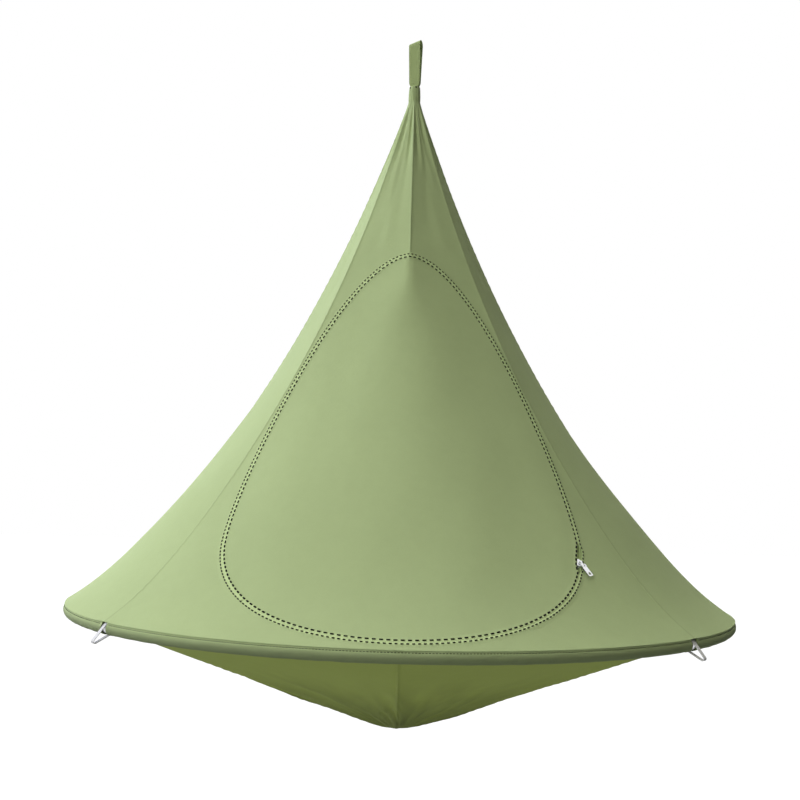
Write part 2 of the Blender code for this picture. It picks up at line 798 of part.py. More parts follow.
class Track:
    """The zip line on the canopy, with its direction and side at each step."""

    def __init__(self):
        self.outline = door_outline()

    def place(self, step):
        """Front-view position at a step, which may lie between two points."""
        count = len(self.outline)
        low = math.floor(step)
        (xa, ha), (xb, hb) = self.outline[low % count], self.outline[(low + 1) % count]
        return lerp(xa, xb, step - low), lerp(ha, hb, step - low)

    def axes(self, step):
        """Position, direction along the zip, side away from the door, normal."""
        x, height = self.place(step)
        behind = front_point(*self.place(step - 0.5), 0.0)
        ahead = front_point(*self.place(step + 0.5), 0.0)
        along = (ahead - behind).normalized()
        normal = surface_normal(x, height)
        side = along.cross(normal).normalized()
        return front_point(x, height, 0.0), along, side, normal

    def ahead(self, step, distance):
        """The step that lies a distance up the zip from another, or down it."""
        start, along, _, _ = self.axes(step)
        length = (self.axes(step + 1)[0] - start).dot(along)
        return step + distance / length

    def point(self, step, offset, lift):
        """A point beside the zip line, on the canopy's face or lifted off it."""
        position, _, side, _ = self.axes(step)
        beside = position + side * offset
        return front_point(beside.x, beside.z + EYE_HEIGHT, lift)


def track_steps(first, last):
    """Steps from the zip's start, over the door's top, to its end."""
    count = first - last
    return [first - i for i in range(count + 1)]


def add_track_ribbon(builder, track, steps, near, far, top, bottom):
    """A ribbon beside the zip line between two offsets and two lifts."""
    outer = []
    inner = []
    for step in steps:
        start = near(step) if callable(near) else near
        outer.append([track.point(step, start, top), track.point(step, far, top)])
        inner.append([track.point(step, start, bottom), track.point(step, far, bottom)])
    add_shell(builder, outer, inner)


def slider_run(track):
    """Steps that the slider covers, from its foot to the top of its travel."""
    half = SLIDER_LENGTH / 2
    return track.ahead(SLIDER_STEP, -half), track.ahead(SLIDER_STEP, SLIDER_TRAVEL + half + SLIDER_ROOM)


def slit_half(track, step):
    """Half the slit between the zip's halves: wider where the slider runs."""
    low, high = slider_run(track)
    wide = math.floor(low) <= step <= math.ceil(high)
    return (POST_SLIT if wide else ZIP_SLIT) / 2


def door_cutter(track):
    """The doorway's cutter: the door's outline as a thick lens."""
    builder = bmesh.new()
    loops = []
    for lift in (DOORWAY_FRONT_CUT, -DOORWAY_BACK_CUT):
        loop = [builder.verts.new(track.point(i, HEM_SETBACK, lift)) for i in range(DOOR_STEPS)]
        loops.append(loop)
    middle = (DOOR_BOTTOM_HEIGHT + DOOR_TOP_HEIGHT) / 2 - EYE_HEIGHT
    front = builder.verts.new((0.0, -2 * HOOP_OUTER_RADIUS, middle))
    back = builder.verts.new((0.0, -HOOP_OUTER_RADIUS / 10, middle))
    for i in range(DOOR_STEPS):
        j = (i + 1) % DOOR_STEPS
        builder.faces.new((loops[0][i], loops[0][j], front))
        builder.faces.new((loops[1][j], loops[1][i], back))
        builder.faces.new((loops[0][j], loops[0][i], loops[1][i], loops[1][j]))
    return cutter_object("doorway_cutter", builder)


def door_flap(track, name, look):
    """The door panel, in rings that shrink towards its middle."""
    centre_height = lerp(DOOR_BOTTOM_HEIGHT, DOOR_TOP_HEIGHT, DOOR_CENTRE)
    edge = [track.point(i, -HEM_SETBACK, 0.0) for i in range(DOOR_STEPS)]
    builder = bmesh.new()
    skins = []
    for lift in (0.0, -CLOTH):
        rings = []
        for k in range(DOOR_RINGS):
            share = 1 - k / DOOR_RINGS
            ring = []
            for point in edge:
                x = point.x * share
                height = lerp(centre_height, point.z + EYE_HEIGHT, share)
                ring.append(builder.verts.new(front_point(x, height, lift)))
            rings.append(ring)
        centre = builder.verts.new(front_point(0.0, centre_height, lift))
        skins.append((rings, centre))
    for rings, centre in skins:
        for a, b in zip(rings, rings[1:]):
            for i in range(DOOR_STEPS):
                j = (i + 1) % DOOR_STEPS
                builder.faces.new((a[i], a[j], b[j], b[i]))
        for i in range(DOOR_STEPS):
            builder.faces.new((rings[-1][i], rings[-1][(i + 1) % DOOR_STEPS], centre))
    front, back = skins[0][0][0], skins[1][0][0]
    for i in range(DOOR_STEPS):
        j = (i + 1) % DOOR_STEPS
        builder.faces.new((front[i], back[i], back[j], front[j]))
    return add_object(name, builder, look)


def zip_levels():
    """Lifts of the tape's two faces and the coil's two, under the canopy's face."""
    tape_top = -CLOTH - TAPE_DEPTH
    coil_bottom = tape_top + GAP
    return tape_top, tape_top - TAPE_THICK, coil_bottom + COIL_HEIGHT, coil_bottom


def zip_half(track, side, steps, sign, looks):
    """Tape and coil on one side of the zip line."""
    tape_top, tape_bottom, coil_top, coil_bottom = zip_levels()

    def near(step):
        return sign * slit_half(track, step)

    builder = bmesh.new()
    add_track_ribbon(builder, track, steps, near, sign * TAPE_WIDTH, tape_top, tape_bottom)
    add_object(f"zip_tape_{side}", builder, looks["tape"])
    builder = bmesh.new()
    far = sign * (COIL_WIDTH + ZIP_SLIT)
    add_track_ribbon(builder, track, steps, near, far, coil_top, coil_bottom)
    add_object(f"zip_coil_{side}", builder, looks["coil"])


def door_sill_band(track, name, look):
    """The hem under the door, where it is sewn on and has no zip."""
    tape_top, tape_bottom, _, _ = zip_levels()
    first = ZIP_START_STEP - DOOR_STEPS + STOP_HALF_STEP
    last = ZIP_END_STEP - STOP_HALF_STEP
    steps = [first] + list(range(math.ceil(first), math.floor(last) + 1)) + [last]
    builder = bmesh.new()
    add_track_ribbon(builder, track, steps, -SILL_COVER, SILL_DEPTH, tape_top, tape_bottom)
    add_object(name, builder, look)


def zip_stop(track, step, name, look):
    """A small metal stop over the coil of the frame's side."""
    frame = axes_matrix(*track.axes(step))
    low = zip_levels()[2] + GAP
    near = COIL_WIDTH + ZIP_SLIT - STOP_WIDTH + COIL_GRIP
    builder = bmesh.new()
    corner = (STOP_LENGTH / 2, near + STOP_WIDTH, low + STOP_HEIGHT)
    add_box(builder, frame, (-STOP_LENGTH / 2, near, low), corner)
    add_object(name, builder, look)


def axes_matrix(position, x_axis, y_axis, z_axis):
    turned = Matrix((x_axis, y_axis, z_axis)).transposed().to_4x4()
    return Matrix.Translation(position) @ turned


def add_disc(builder, frame, radius, low, high, sides):
    """A round post between two heights, round the z axis of a frame."""
    outline = []
    for s in range(sides):
        angle = 2 * math.pi * s / sides
        outline.append(frame @ Vector((radius * math.cos(angle), radius * math.sin(angle), low)))
    add_prism(builder, outline, frame.to_3x3() @ Vector((0.0, 0.0, high - low)))


def slider_frame(track):
    """Axes at the slider: x down along the zip, y away from the door, z out."""
    position, along, side, normal = track.axes(SLIDER_STEP)
    down = -along
    return axes_matrix(position, down, side, normal)


def union_of(name, builders, look):
    """One object from several closed shapes, joined by Booleans."""
    first = add_object(name, builders[0], look)
    for i, builder in enumerate(builders[1:]):
        tool = cutter_object(f"{name}_joint_{i}", builder)
        step = first.modifiers.new(tool.name, "BOOLEAN")
        step.operation = "UNION"
        step.solver = "EXACT"
        step.object = tool
    return first


def slider_levels():
    """Heights of the slider's plates over the canopy's face."""
    _, tape_bottom, coil_top, _ = zip_levels()
    return coil_top + 2 * GAP, tape_bottom - 2 * GAP


def zip_slider(track, name, look):
    """Two plates round the zip, a post between them and a stud for the pull."""
    frame = slider_frame(track)
    roof, floor = slider_levels()
    half_length = SLIDER_LENGTH / 2
    half_width = SLIDER_WIDTH / 2
    lip_floor = roof - SLIDER_LIP_DEPTH
    lip_inside = half_width - SLIDER_LIP
    half_side = [
        (lip_inside, roof),
        (lip_inside, lip_floor),
        (half_width, lip_floor),
        (half_width, roof + SLIDER_PLATE / 2),
        (half_width - SLIDER_BEVEL, roof + SLIDER_PLATE),
    ]
    section = half_side + [(-y, z) for y, z in reversed(half_side)]
    shapes = []
    builder = bmesh.new()
    outline = [frame @ Vector((-half_length, y, z)) for y, z in section]
    add_prism(builder, outline, frame.to_3x3() @ Vector((SLIDER_LENGTH, 0.0, 0.0)))
    shapes.append(builder)
    builder = bmesh.new()
    low = (-half_length, -half_width, floor - SLIDER_PLATE)
    add_box(builder, frame, low, (half_length, half_width, floor))
    shapes.append(builder)
    builder = bmesh.new()
    post_end = half_length - SLIDER_POST_SETBACK
    low = (post_end - SLIDER_POST_LENGTH, -SLIDER_POST / 2, floor - SLIDER_WELD)
    add_box(builder, frame, low, (post_end, SLIDER_POST / 2, roof + SLIDER_WELD))
    shapes.append(builder)
    plate_top = roof + SLIDER_PLATE
    head = plate_top + PULL_STANDOFF + LINK_THICK / 2 + GAP
    builder = bmesh.new()
    add_disc(builder, frame, STUD_RADIUS, plate_top - SLIDER_WELD, head + STUD_HEAD_THICK / 4, 12)
    shapes.append(builder)
    builder = bmesh.new()
    add_disc(builder, frame, STUD_HEAD, head, head + STUD_HEAD_THICK, 12)
    shapes.append(builder)
    return union_of(name, shapes, look)


def pull_frame(track):
    """Axes of the pull's link: x towards the pull, z out, origin on the stud."""
    roof, _ = slider_levels()
    lean = Matrix.Rotation(PULL_LEAN, 4, "Z")
    level = roof + SLIDER_PLATE + PULL_STANDOFF
    return slider_frame(track) @ lean @ Matrix.Translation((0.0, 0.0, level))


def pull_link(track, name, look):
    """A flat eye round the stud, with a cross pin for the pull."""
    frame = pull_frame(track)
    eye = STUD_RADIUS + LINK_CLEARANCE
    half = LINK_THICK / 2
    outline = belt(LINK_LENGTH, LINK_WIDTH / 2, eye + LINK_RIM, 6, 12)
    plate = bmesh.new()
    outline = [frame @ Vector((x, y, -half)) for x, y in outline]
    add_prism(plate, outline, frame.to_3x3() @ Vector((0.0, 0.0, LINK_THICK)))
    pin = bmesh.new()
    pin_half = PULL_WIDTH / 2 - PIN_SHORT
    add_disc(pin, pin_frame(track), PIN_RADIUS, -pin_half, pin_half, PIN_SIDES)
    link = union_of(name, [plate, pin], look)
    hole = bmesh.new()
    add_disc(hole, frame, eye, -CUT_PAST, CUT_PAST, 14)
    cut(link, cutter_object("link_eye_cutter", hole))
    return link


def pin_frame(track):
    """Axes of the link's cross pin, which runs along z."""
    turn = Matrix.Rotation(math.pi / 2, 4, "X")
    return pull_frame(track) @ Matrix.Translation((LINK_LENGTH, 0.0, 0.0)) @ turn


def zip_pull(track, name, look):
    """The pull plate: two ears round the link's pin and a window at its end."""
    frame = pull_frame(track) @ Matrix.Translation((LINK_LENGTH, 0.0, 0.0))
    half_width = PULL_WIDTH / 2
    slot = LINK_WIDTH / 2 + 2 * GAP
    half_side = [
        (PULL_SLOT_DEPTH, slot),
        (-PULL_EAR, slot),
        (-PULL_EAR, half_width - PULL_BEVEL),
        (PULL_BEVEL - PULL_EAR, half_width),
        (PULL_LENGTH - PULL_CORNER, half_width),
        (PULL_LENGTH, half_width - PULL_CORNER),
    ]
    outline = half_side + [(x, -y) for x, y in reversed(half_side)]
    half = PULL_EAR_THICK / 2
    builder = bmesh.new()
    outline = [frame @ Vector((x, y, -half)) for x, y in outline]
    add_prism(builder, outline, frame.to_3x3() @ Vector((0.0, 0.0, PULL_EAR_THICK)))
    pull = add_object(name, builder, look)
    bore = bmesh.new()
    bore_radius = (PIN_RADIUS + GAP) / math.cos(math.pi / PIN_SIDES)
    add_disc(bore, pin_frame(track), bore_radius, -PULL_WIDTH, PULL_WIDTH, PIN_SIDES)
    cut(pull, cutter_object("pull_bore_cutter", bore))
    long, wide = PULL_WINDOW
    end = PULL_LENGTH - PULL_WINDOW_RIM
    window = bmesh.new()
    add_box(window, frame, (end - long, -wide / 2, -CUT_PAST), (end, wide / 2, CUT_PAST))
    cut(pull, cutter_object("pull_window_cutter", window))
    start = PULL_SLOT_DEPTH + PULL_BEVEL
    for side, sign in (("under", -1), ("over", 1)):
        low, high = sorted((sign * PULL_THICK / 2, sign * CUT_PAST))
        thin = bmesh.new()
        add_box(thin, frame, (start, -PULL_WIDTH, low), (2 * PULL_LENGTH, PULL_WIDTH, high))
        cut(pull, cutter_object(f"pull_{side}_face_cutter", thin))
    return pull


def build():
    clear_scene()
    looks = {
        "cloth": material("canopy_cloth", (0.330, 0.420, 0.215), 0.85),
        "bowl": material("bowl_cloth", (0.225, 0.300, 0.125), 0.85),
        "door": material("door_cloth", (0.360, 0.440, 0.235), 0.85),
        "web": material("load_webbing", (0.300, 0.370, 0.190), 0.80),
        "tape": material("zip_tape_weave", (0.380, 0.500, 0.240), 0.75),
        "coil": material("zip_coil_nylon", (0.350, 0.450, 0.220), 0.45),
        "metal": material("bright_zinc", (0.830, 0.840, 0.860), 0.25, 1.0),
        "tube": material("aluminium_tube", (0.720, 0.730, 0.740), 0.30, 1.0),
        "tie": material("white_tape", (0.880, 0.880, 0.870), 0.70),
    }
    track = Track()
    doorway = door_cutter(track)
    names = ("front_right", "right_front", "right_rear", "rear_right")
    names += ("rear_left", "left_rear", "left_front", "front_left")
    for index, where in enumerate(names):
        front = index in (0, GORES - 1)
        columns, rows = GORE_COLUMNS, GORE_ROWS
        if front:
            columns, rows = 2 * GORE_COLUMNS, FRONT_GORE_ROWS
        gore = canopy_gore(index, f"canopy_gore_{where}", looks["cloth"], columns, rows)
        if index < DOORWAY_GORES or index >= GORES - DOORWAY_GORES:
            cut(gore, doorway)
        bowl_gore(index, f"bowl_gore_{where}", looks["bowl"])
        canopy_strap(index, f"canopy_strap_{index + 1}", looks["web"])
        hoop_tube(index, f"hoop_tube_{index + 1}", looks["tube"])
    bowl_webbing("bowl_webbing", looks["web"])
    for index, where in enumerate(("front", "right", "rear", "left")):
        sleeve(index, f"sleeve_{where}", looks["cloth"])
        tie_loop((2 * index + 1) * SECTOR, f"tie_loop_{index + 1}", looks["tie"])
    neck_collar("neck_collar", looks["web"])
    hanging_loop("hanging_loop", looks["web"])
    door_flap(track, "door_flap", looks["door"])
    frame_steps = track_steps(ZIP_START_STEP, ZIP_END_STEP)
    zip_half(track, "frame", frame_steps, 1, looks)
    _, above_slider = slider_run(track)
    door_steps = track_steps(ZIP_START_STEP, math.ceil(above_slider)) + [above_slider]
    zip_half(track, "door", door_steps, -1, looks)
    door_sill_band(track, "door_sill_band", looks["tape"])
    zip_stop(track, ZIP_START_STEP - START_STOP_STEP, "zip_start_stop", looks["metal"])
    zip_stop(track, ZIP_END_STEP + END_STOP_STEP, "zip_end_stop", looks["metal"])
    zip_slider(track, "zip_slider", looks["metal"])
    pull_link(track, "pull_link", looks["metal"])
    zip_pull(track, "zip_pull", looks["metal"])


build()
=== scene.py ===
"""Finish of a hanging tent: cloth, seams, stitching, webbing, zip and studio,
round the fixed frame of its solids.

Metres, +Z up. The origin is the hanging eye. The door faces -Y, and an azimuth
of 0 looks along -Y and grows towards +X.
"""

import bisect
import math

import bmesh
import bpy
from bpy.props import FloatProperty, FloatVectorProperty, PointerProperty
from bpy.types import Operator, Panel, PropertyGroup
from mathutils import Matrix, Vector, noise


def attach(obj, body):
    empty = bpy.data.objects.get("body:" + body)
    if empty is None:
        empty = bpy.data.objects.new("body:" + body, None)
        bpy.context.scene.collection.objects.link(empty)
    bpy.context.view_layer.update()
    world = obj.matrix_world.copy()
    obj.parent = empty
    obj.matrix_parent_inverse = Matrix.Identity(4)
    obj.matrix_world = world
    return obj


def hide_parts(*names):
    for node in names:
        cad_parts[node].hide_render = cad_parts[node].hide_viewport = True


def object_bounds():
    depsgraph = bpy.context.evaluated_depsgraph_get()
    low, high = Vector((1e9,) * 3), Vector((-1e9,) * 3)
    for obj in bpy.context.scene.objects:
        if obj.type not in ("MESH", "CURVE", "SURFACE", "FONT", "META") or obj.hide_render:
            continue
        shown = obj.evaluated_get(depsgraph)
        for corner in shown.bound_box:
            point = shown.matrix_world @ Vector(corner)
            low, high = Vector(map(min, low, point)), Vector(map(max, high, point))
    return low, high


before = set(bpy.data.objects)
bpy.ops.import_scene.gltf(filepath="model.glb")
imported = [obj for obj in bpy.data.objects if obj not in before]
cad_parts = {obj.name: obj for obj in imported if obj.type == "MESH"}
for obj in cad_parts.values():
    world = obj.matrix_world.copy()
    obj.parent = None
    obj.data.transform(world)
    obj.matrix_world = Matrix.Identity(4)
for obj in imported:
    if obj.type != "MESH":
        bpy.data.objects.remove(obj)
solid_box = [list(corner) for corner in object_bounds()]

bl_info = {
    "name": "Hanging tent finish",
    "version": (1, 0, 0),
    "blender": (4, 5, 0),
    "location": "3D View > Sidebar > Hanging tent",
    "description": "Cloth, seams, stitching, webbing and a studio for the hanging tent",
    "category": "Add Mesh",
}

# Shape of the tent, as its solids have it
HOOP_OUTER_RADIUS = 0.750
CANOPY_RISE = 1.238
BOWL_DEPTH = 0.2925
NECK_RADIUS = 0.014
NECK_LENGTH = 0.041
LOOP_DROP = 0.119
EYE_HEIGHT = CANOPY_RISE + NECK_LENGTH + LOOP_DROP
GORES = 8
SECTOR = 2 * math.pi / GORES
SWEEP = 1.0205
FLARE = 0.0412
FLARE_HEIGHT = 0.0621
FLAT_START = 0.10
FLAT_FULL = 0.62
PLEAT_DEPTH = 0.10
PLEATS_PER_GORE = 2
PLEAT_START = 0.012
PLEAT_FULL = 0.050
PLEAT_FADE = 0.060
PLEAT_REACH = 0.22
CLOTH = 0.0008
GAP = 0.0003

# Hoop, sleeve and bowl
HOOP_RADIUS = 0.7381925564
TUBE_RADIUS = 0.0095
SLEEVE_OUTER = HOOP_OUTER_RADIUS - HOOP_RADIUS
SLEEVE_FIN = 0.0033
SLEEVE_FIN_ANGLE = math.radians(53.5)
SLEEVE_NOTCH = 0.018
HOOP_DROP = 0.010
HOOP_LEVEL = -HOOP_DROP - EYE_HEIGHT
BOWL_EDGE = HOOP_RADIUS - SLEEVE_OUTER - GAP
BOWL_EDGE_DROP = 0.012
BOWL_TIP_ROUNDNESS = 0.0562
BOWL_ROUND_FROM = 0.55

# Door and zip
DOOR_HALF_WIDTH = 0.3310
DOOR_WIDEST_HEIGHT = 0.1520
DOOR_TOP_HEIGHT = 0.788
DOOR_BOTTOM_HEIGHT = 0.0108
DOOR_BOTTOM_PULL = 0.1950
DOOR_CORNER_PULL = 0.1025
DOOR_SIDE_PULL = 0.1560
DOOR_TOP_PULL = 0.1420
DOOR_STEPS = 52
DOOR_CREASE = math.radians(9.0)
CREASE_FADE = 0.22
CREASE_END = 0.02
DOOR_CENTRE_HEIGHT = 0.337
TAPE_WIDTH = 0.0120
TAPE_LIFT = -0.0015
ZIP_SLIT = 0.0004
POST_SLIT = 0.0032
ZIP_START_STEP = 46
ZIP_END_STEP = 6
SLIDER_STEP = 8.41
SLIDER_LENGTH = 0.017
SLIDER_TRAVEL = 0.025
SLIDER_ROOM = 0.0020
SILL_DEPTH = 0.0096
SILL_LAP = -0.0024
HEM_SLIT = 0.00006
HEM_PARTED = 0.0056
HEM_WIDTH = 0.0180
HEM_SUNK = -0.0006
GUARD_LIFT = -0.0048
GUARD_OFFSETS = (-0.0125, 0.0060)
GUARD_MARGIN = 0.7
HEM_OVERLAP = 0.0080

# Webbing inside, hanging loop and ties
WEB_WIDTH = 0.020
WEB_THICK = 0.0012
WEB_DEPTH = 0.0038
FRONT_WEB_DEPTH = 0.0014
WEB_FOOT = 0.0062
WEB_OVER_DOOR = 0.003
STAR_RISE = 0.0017
STAR_LAYER = 0.0003
LOOP_WIDTH = 0.030
LOOP_FOOT_WIDTH = 0.028
LOOP_ROOT_WIDTH = 0.021
LOOP_ROOT_DEPTH = 0.020
LOOP_THICK = 0.0016
LOOP_RADIUS = 0.011
LOOP_ROOT_RADIUS = 0.0030
LOOP_FLARE = 0.012
LOOP_TURN = math.radians(-20.0)
LOOP_SLANT = math.radians(15.0)
TIE_WIDTH = 0.010
TIE_THICK = 0.0012
TIE_REACH = 0.034
TIE_END_RADIUS = 0.0030
TIE_DROOP = math.radians(38.0)
TIE_CLEARANCE = 0.0006

UP = Vector((0.0, 0.0, 1.0))
GORE_NAMES = ("front_right", "right_front", "right_rear", "rear_right")
GORE_NAMES += ("rear_left", "left_rear", "left_front", "front_left")
SLEEVE_NAMES = ("front", "right", "rear", "left")
METAL_PIECES = ("zip_slider", "pull_link", "zip_pull")
NYLON_PIECES = ("zip_start_stop", "zip_end_stop")

# Columns of the cloth's grids: offsets from a seam, then even steps to the middle
NEAR_SEAM = (0.0, 0.0014, 0.0028, 0.0042, 0.0058, 0.0090, 0.0140)
PANEL_COLUMNS = 10
HALF_COLUMNS = len(NEAR_SEAM) + PANEL_COLUMNS - 1
WEB_SIDES = (-1.0, -0.5, 0.0, 0.5, 1.0)
BAND_SIDES = (-1.0, -0.94, -0.8, -0.4, 0.0, 0.4, 0.8, 0.94, 1.0)

# Relief of the cloth, in metres unless it is a count or a share
DOOR_MARGIN = 0.15
CANOPY_FOOT = 0.0010
RELIEF_RADIUS = 0.10
PUCKER_REACH = 0.016
NECK_FOLD = 0.0011
FOOT_RIPPLE = 0.0005
FOOT_RIPPLE_REACH = 0.016
FOOT_RIPPLE_PITCH = 0.024
TIE_LIFT = 0.0014
DOOR_WAVES = 1.1
DOOR_RIPPLE = 0.00015
DOOR_RIPPLES = 96
BOWL_HOLE = 0.003
BOWL_COLUMN_RADIUS = 0.02
BOWL_WAVES = 0.9
BOWL_WRINKLE = 0.0034
BOWL_RIPPLE = 0.0011
BOWL_RIPPLE_PITCH = 0.031
HEM_THICK = 0.0005
HEM_BEND = 0.0007
HEM_ROW_GAP = 0.0017
HEM_STEPS = 520
HEM_BEAT = 0.00020
HEM_ROW_DIP = 0.00012
DOUBLED_CLOTH = 0.0010
SLEEVE_HEM = 0.009
SLEEVE_HEM_RISE = 0.0006
SLEEVE_FIN_HALF = 14.0
SLEEVE_FOLD = 0.00055
SLEEVE_PUCKER = 0.00025
SLEEVE_PUCKER_PITCH = 0.0105
SLEEVE_ROW_ANGLE = SLEEVE_FIN_ANGLE - math.radians(17.0)
COLLAR_FOLD = 0.00045

# Stitches, as length, width and height
STITCH_BATCH = 60
STITCH_BLUNTNESS = 1.24
BOLD_FLATNESS = 0.62
FINE_FLATNESS = 0.75
DOOR_ROW_LIFT = 0.0010
DOOR_ROW_STEPS = 1040
SLEEVE_STITCH = (0.0040, 0.0010, 0.0008)
SLEEVE_STITCH_PITCH = 0.0054
COIL_TURN = (0.0013, 0.0026, 0.0011)
COIL_PITCH = 0.0021
COIL_OFFSET = 0.0014
COIL_LIFT = 0.0006
COIL_STEPS = 700
TACK = (0.0038, 0.0008, 0.0009)
TACK_TURNS = 7
TACK_SIDE = 0.0095
TACK_FACE = 0.0144
TACK_PITCH = 0.0007
TACK_RADIUS = 0.0141
TACK_DROP = 0.0048

# Colour and light
PLAIN_GREEN = (0.3, 0.4, 0.2, 1.0)
WHITE = (1.0, 1.0, 1.0, 1.0)
ALUMINIUM = (0.74, 0.75, 0.76)
SEAM_SHADE = 0.16
SEAM_SHADE_HALF = 0.0036
BOWL_SEAM_SHADE = 0.10
BOWL_SEAM_SHADE_HALF = 0.0060
# Painted shade along the bowl's wrinkles, following their relief
BOWL_WRINKLE_PAINTED_SHADE = 0.16
# Painted shade: how much darker the bowl is made towards its tip, underneath the tent
BOWL_TIP_PAINTED_SHADE = 0.50
# Painted highlight: how much paler the hems' raised edge beside the zip is made
HEM_PAINTED_HIGHLIGHT = 0.30
# Painted shade: how much darker the hoop sleeve's underside is made, as if in shadow
SLEEVE_UNDERSIDE_PAINTED_SHADE = 0.38
FLOOR_SIZE = 30.0
FLOOR_GLOW = 0.80
RIM_SHARE = 0.72
SENSOR = 36.0
LENS = 40.44
LENS_SHIFT = -0.0074


class TentCloth(PropertyGroup):
    """Sizes of the cloth's seams, puckers and waves."""

    seam_ridge: FloatProperty(
        name="Seam ridge", description="How far a felled seam stands up", default=0.0008,
        min=0.0, subtype="DISTANCE", unit="LENGTH",
    )
    seam_half: FloatProperty(
        name="Seam half width", description="Half the width of a felled seam", default=0.0045,
        min=0.001, subtype="DISTANCE", unit="LENGTH",
    )
    pucker: FloatProperty(
        name="Pucker", description="Depth of the puckers along a seam", default=0.0005,
        min=0.0, subtype="DISTANCE", unit="LENGTH",
    )
    pucker_pitch: FloatProperty(
        name="Pucker pitch", description="Spacing of the puckers", default=0.021,
        min=0.004, subtype="DISTANCE", unit="LENGTH",
    )
    wave: FloatProperty(
        name="Waves", description="Depth of the soft waves in a panel", default=0.0022,
        min=0.0, subtype="DISTANCE", unit="LENGTH",
    )
    hem: FloatProperty(
        name="Hem", description="How far the door's hems stand up", default=0.0005,
        min=0.0, subtype="DISTANCE", unit="LENGTH",
    )


class TentThread(PropertyGroup):
    """Sizes of the stitches."""

    bold_length: FloatProperty(
        name="Bold stitch", description="Length of a stitch on the door's hem", default=0.0068,
        min=0.001, subtype="DISTANCE", unit="LENGTH",
    )
    bold_pitch: FloatProperty(
        name="Bold pitch", description="Spacing of the door hem's stitches", default=0.0114,
        min=0.002, subtype="DISTANCE", unit="LENGTH",
    )
    bold_thick: FloatProperty(
        name="Bold thread", description="Thickness of the door hem's thread", default=0.0034,
        min=0.0002, subtype="DISTANCE", unit="LENGTH",
    )
    fine_length: FloatProperty(
        name="Fine stitch", description="Length of a stitch round the doorway", default=0.0050,
        min=0.001, subtype="DISTANCE", unit="LENGTH",
    )
    fine_pitch: FloatProperty(
        name="Fine pitch", description="Spacing of the doorway's stitches", default=0.0092,
        min=0.002, subtype="DISTANCE", unit="LENGTH",
    )
    fine_thick: FloatProperty(
        name="Fine thread", description="Thickness of the doorway's thread", default=0.0027,
        min=0.0002, subtype="DISTANCE", unit="LENGTH",
    )
    row_offset: FloatProperty(
        name="Row offset", description="Distance of each row from the zip line", default=0.0040,
        min=0.002, subtype="DISTANCE", unit="LENGTH",
    )


class TentColours(PropertyGroup):
    """Colours of the cloth, webbing, thread and metal."""

    canopy: FloatVectorProperty(
        name="Canopy", description="Colour of the canopy and door", subtype="COLOR",
        size=3, min=0.0, max=1.0, default=(0.450, 0.550, 0.262),
    )
    bowl: FloatVectorProperty(
        name="Bowl", description="Colour of the bowl", subtype="COLOR",
        size=3, min=0.0, max=1.0, default=(0.520, 0.635, 0.145),
    )
    tape: FloatVectorProperty(
        name="Zip tape", description="Colour of the zip's tape and coil", subtype="COLOR",
        size=3, min=0.0, max=1.0, default=(0.480, 0.590, 0.270),
    )
    webbing: FloatVectorProperty(
        name="Webbing", description="Colour of the loop and load webbing", subtype="COLOR",
        size=3, min=0.0, max=1.0, default=(0.430, 0.530, 0.220),
    )
    thread: FloatVectorProperty(
        name="Dark thread", description="Colour of the dark stitches", subtype="COLOR",
        size=3, min=0.0, max=1.0, default=(0.010, 0.013, 0.007),
    )
    tie: FloatVectorProperty(
        name="Tie tape", description="Colour of the tie loops", subtype="COLOR",
        size=3, min=0.0, max=1.0, default=(0.830, 0.830, 0.810),
    )
    metal: FloatVectorProperty(
        name="Metal", description="Colour of the slider and its pull", subtype="COLOR",
        size=3, min=0.0, max=1.0, default=(0.860, 0.870, 0.880),
    )


class TentStudio(PropertyGroup):
    """Camera, lamps and floor."""

    camera_height: FloatProperty(
        name="Camera height", description="Height of the camera", default=-1.1724,
        subtype="DISTANCE", unit="LENGTH",
    )
    camera_distance: FloatProperty(
        name="Camera distance", description="Distance of the camera from the tent's axis",
        default=2.178, subtype="DISTANCE", unit="LENGTH",
    )
    camera_pitch: FloatProperty(
        name="Camera pitch", description="How far the camera looks up", default=0.1159,
        subtype="ANGLE", unit="ROTATION",
    )
    camera_roll: FloatProperty(
        name="Camera roll", description="How far the camera leans", default=0.0285,
        subtype="ANGLE", unit="ROTATION",
    )
    dome: FloatProperty(
        name="Dome light", description="Strength of the soft dome on the left", default=1.96,
        min=0.0, subtype="FACTOR",
    )
    dome_side: FloatVectorProperty(
        name="Dome side", description="Direction that the middle of the dome lies in",
        subtype="DIRECTION", size=3, default=(-0.90, 0.36, 0.30),
    )
    dome_blend: FloatProperty(
        name="Dome blend", description="Softness of the dome's edge", default=0.16,
        min=0.01, subtype="FACTOR",
    )
    dome_middle: FloatVectorProperty(
        name="Dome middle", description="Colour of the light from the dome's middle",
        subtype="COLOR", size=3, min=0.0, max=2.0, default=(0.97, 1.0, 1.22),
    )
    dome_rim: FloatVectorProperty(
        name="Dome rim", description="Colour of the light from the dome's rim", subtype="COLOR",
        size=3, min=0.0, max=2.0, default=(1.03, 1.00, 0.78),
    )
    floor_grey: FloatProperty(
        name="Floor grey", description="How much light the floor throws back", default=0.25,
        min=0.0, max=1.0, subtype="FACTOR",
    )
    floor_drop: FloatProperty(
        name="Floor drop", description="Distance of the floor under the bowl", default=0.95,
        min=0.0, subtype="DISTANCE", unit="LENGTH",
    )


def smoothstep(start, end, value):
    t = min(1.0, max(0.0, (value - start) / (end - start)))
    return t * t * (3 - 2 * t)


def lerp(a, b, t):
    return a + (b - a) * t


def spread(first, last, count):
    """Evenly spaced values, both ends included."""
    return [lerp(first, last, i / count) for i in range(count + 1)]


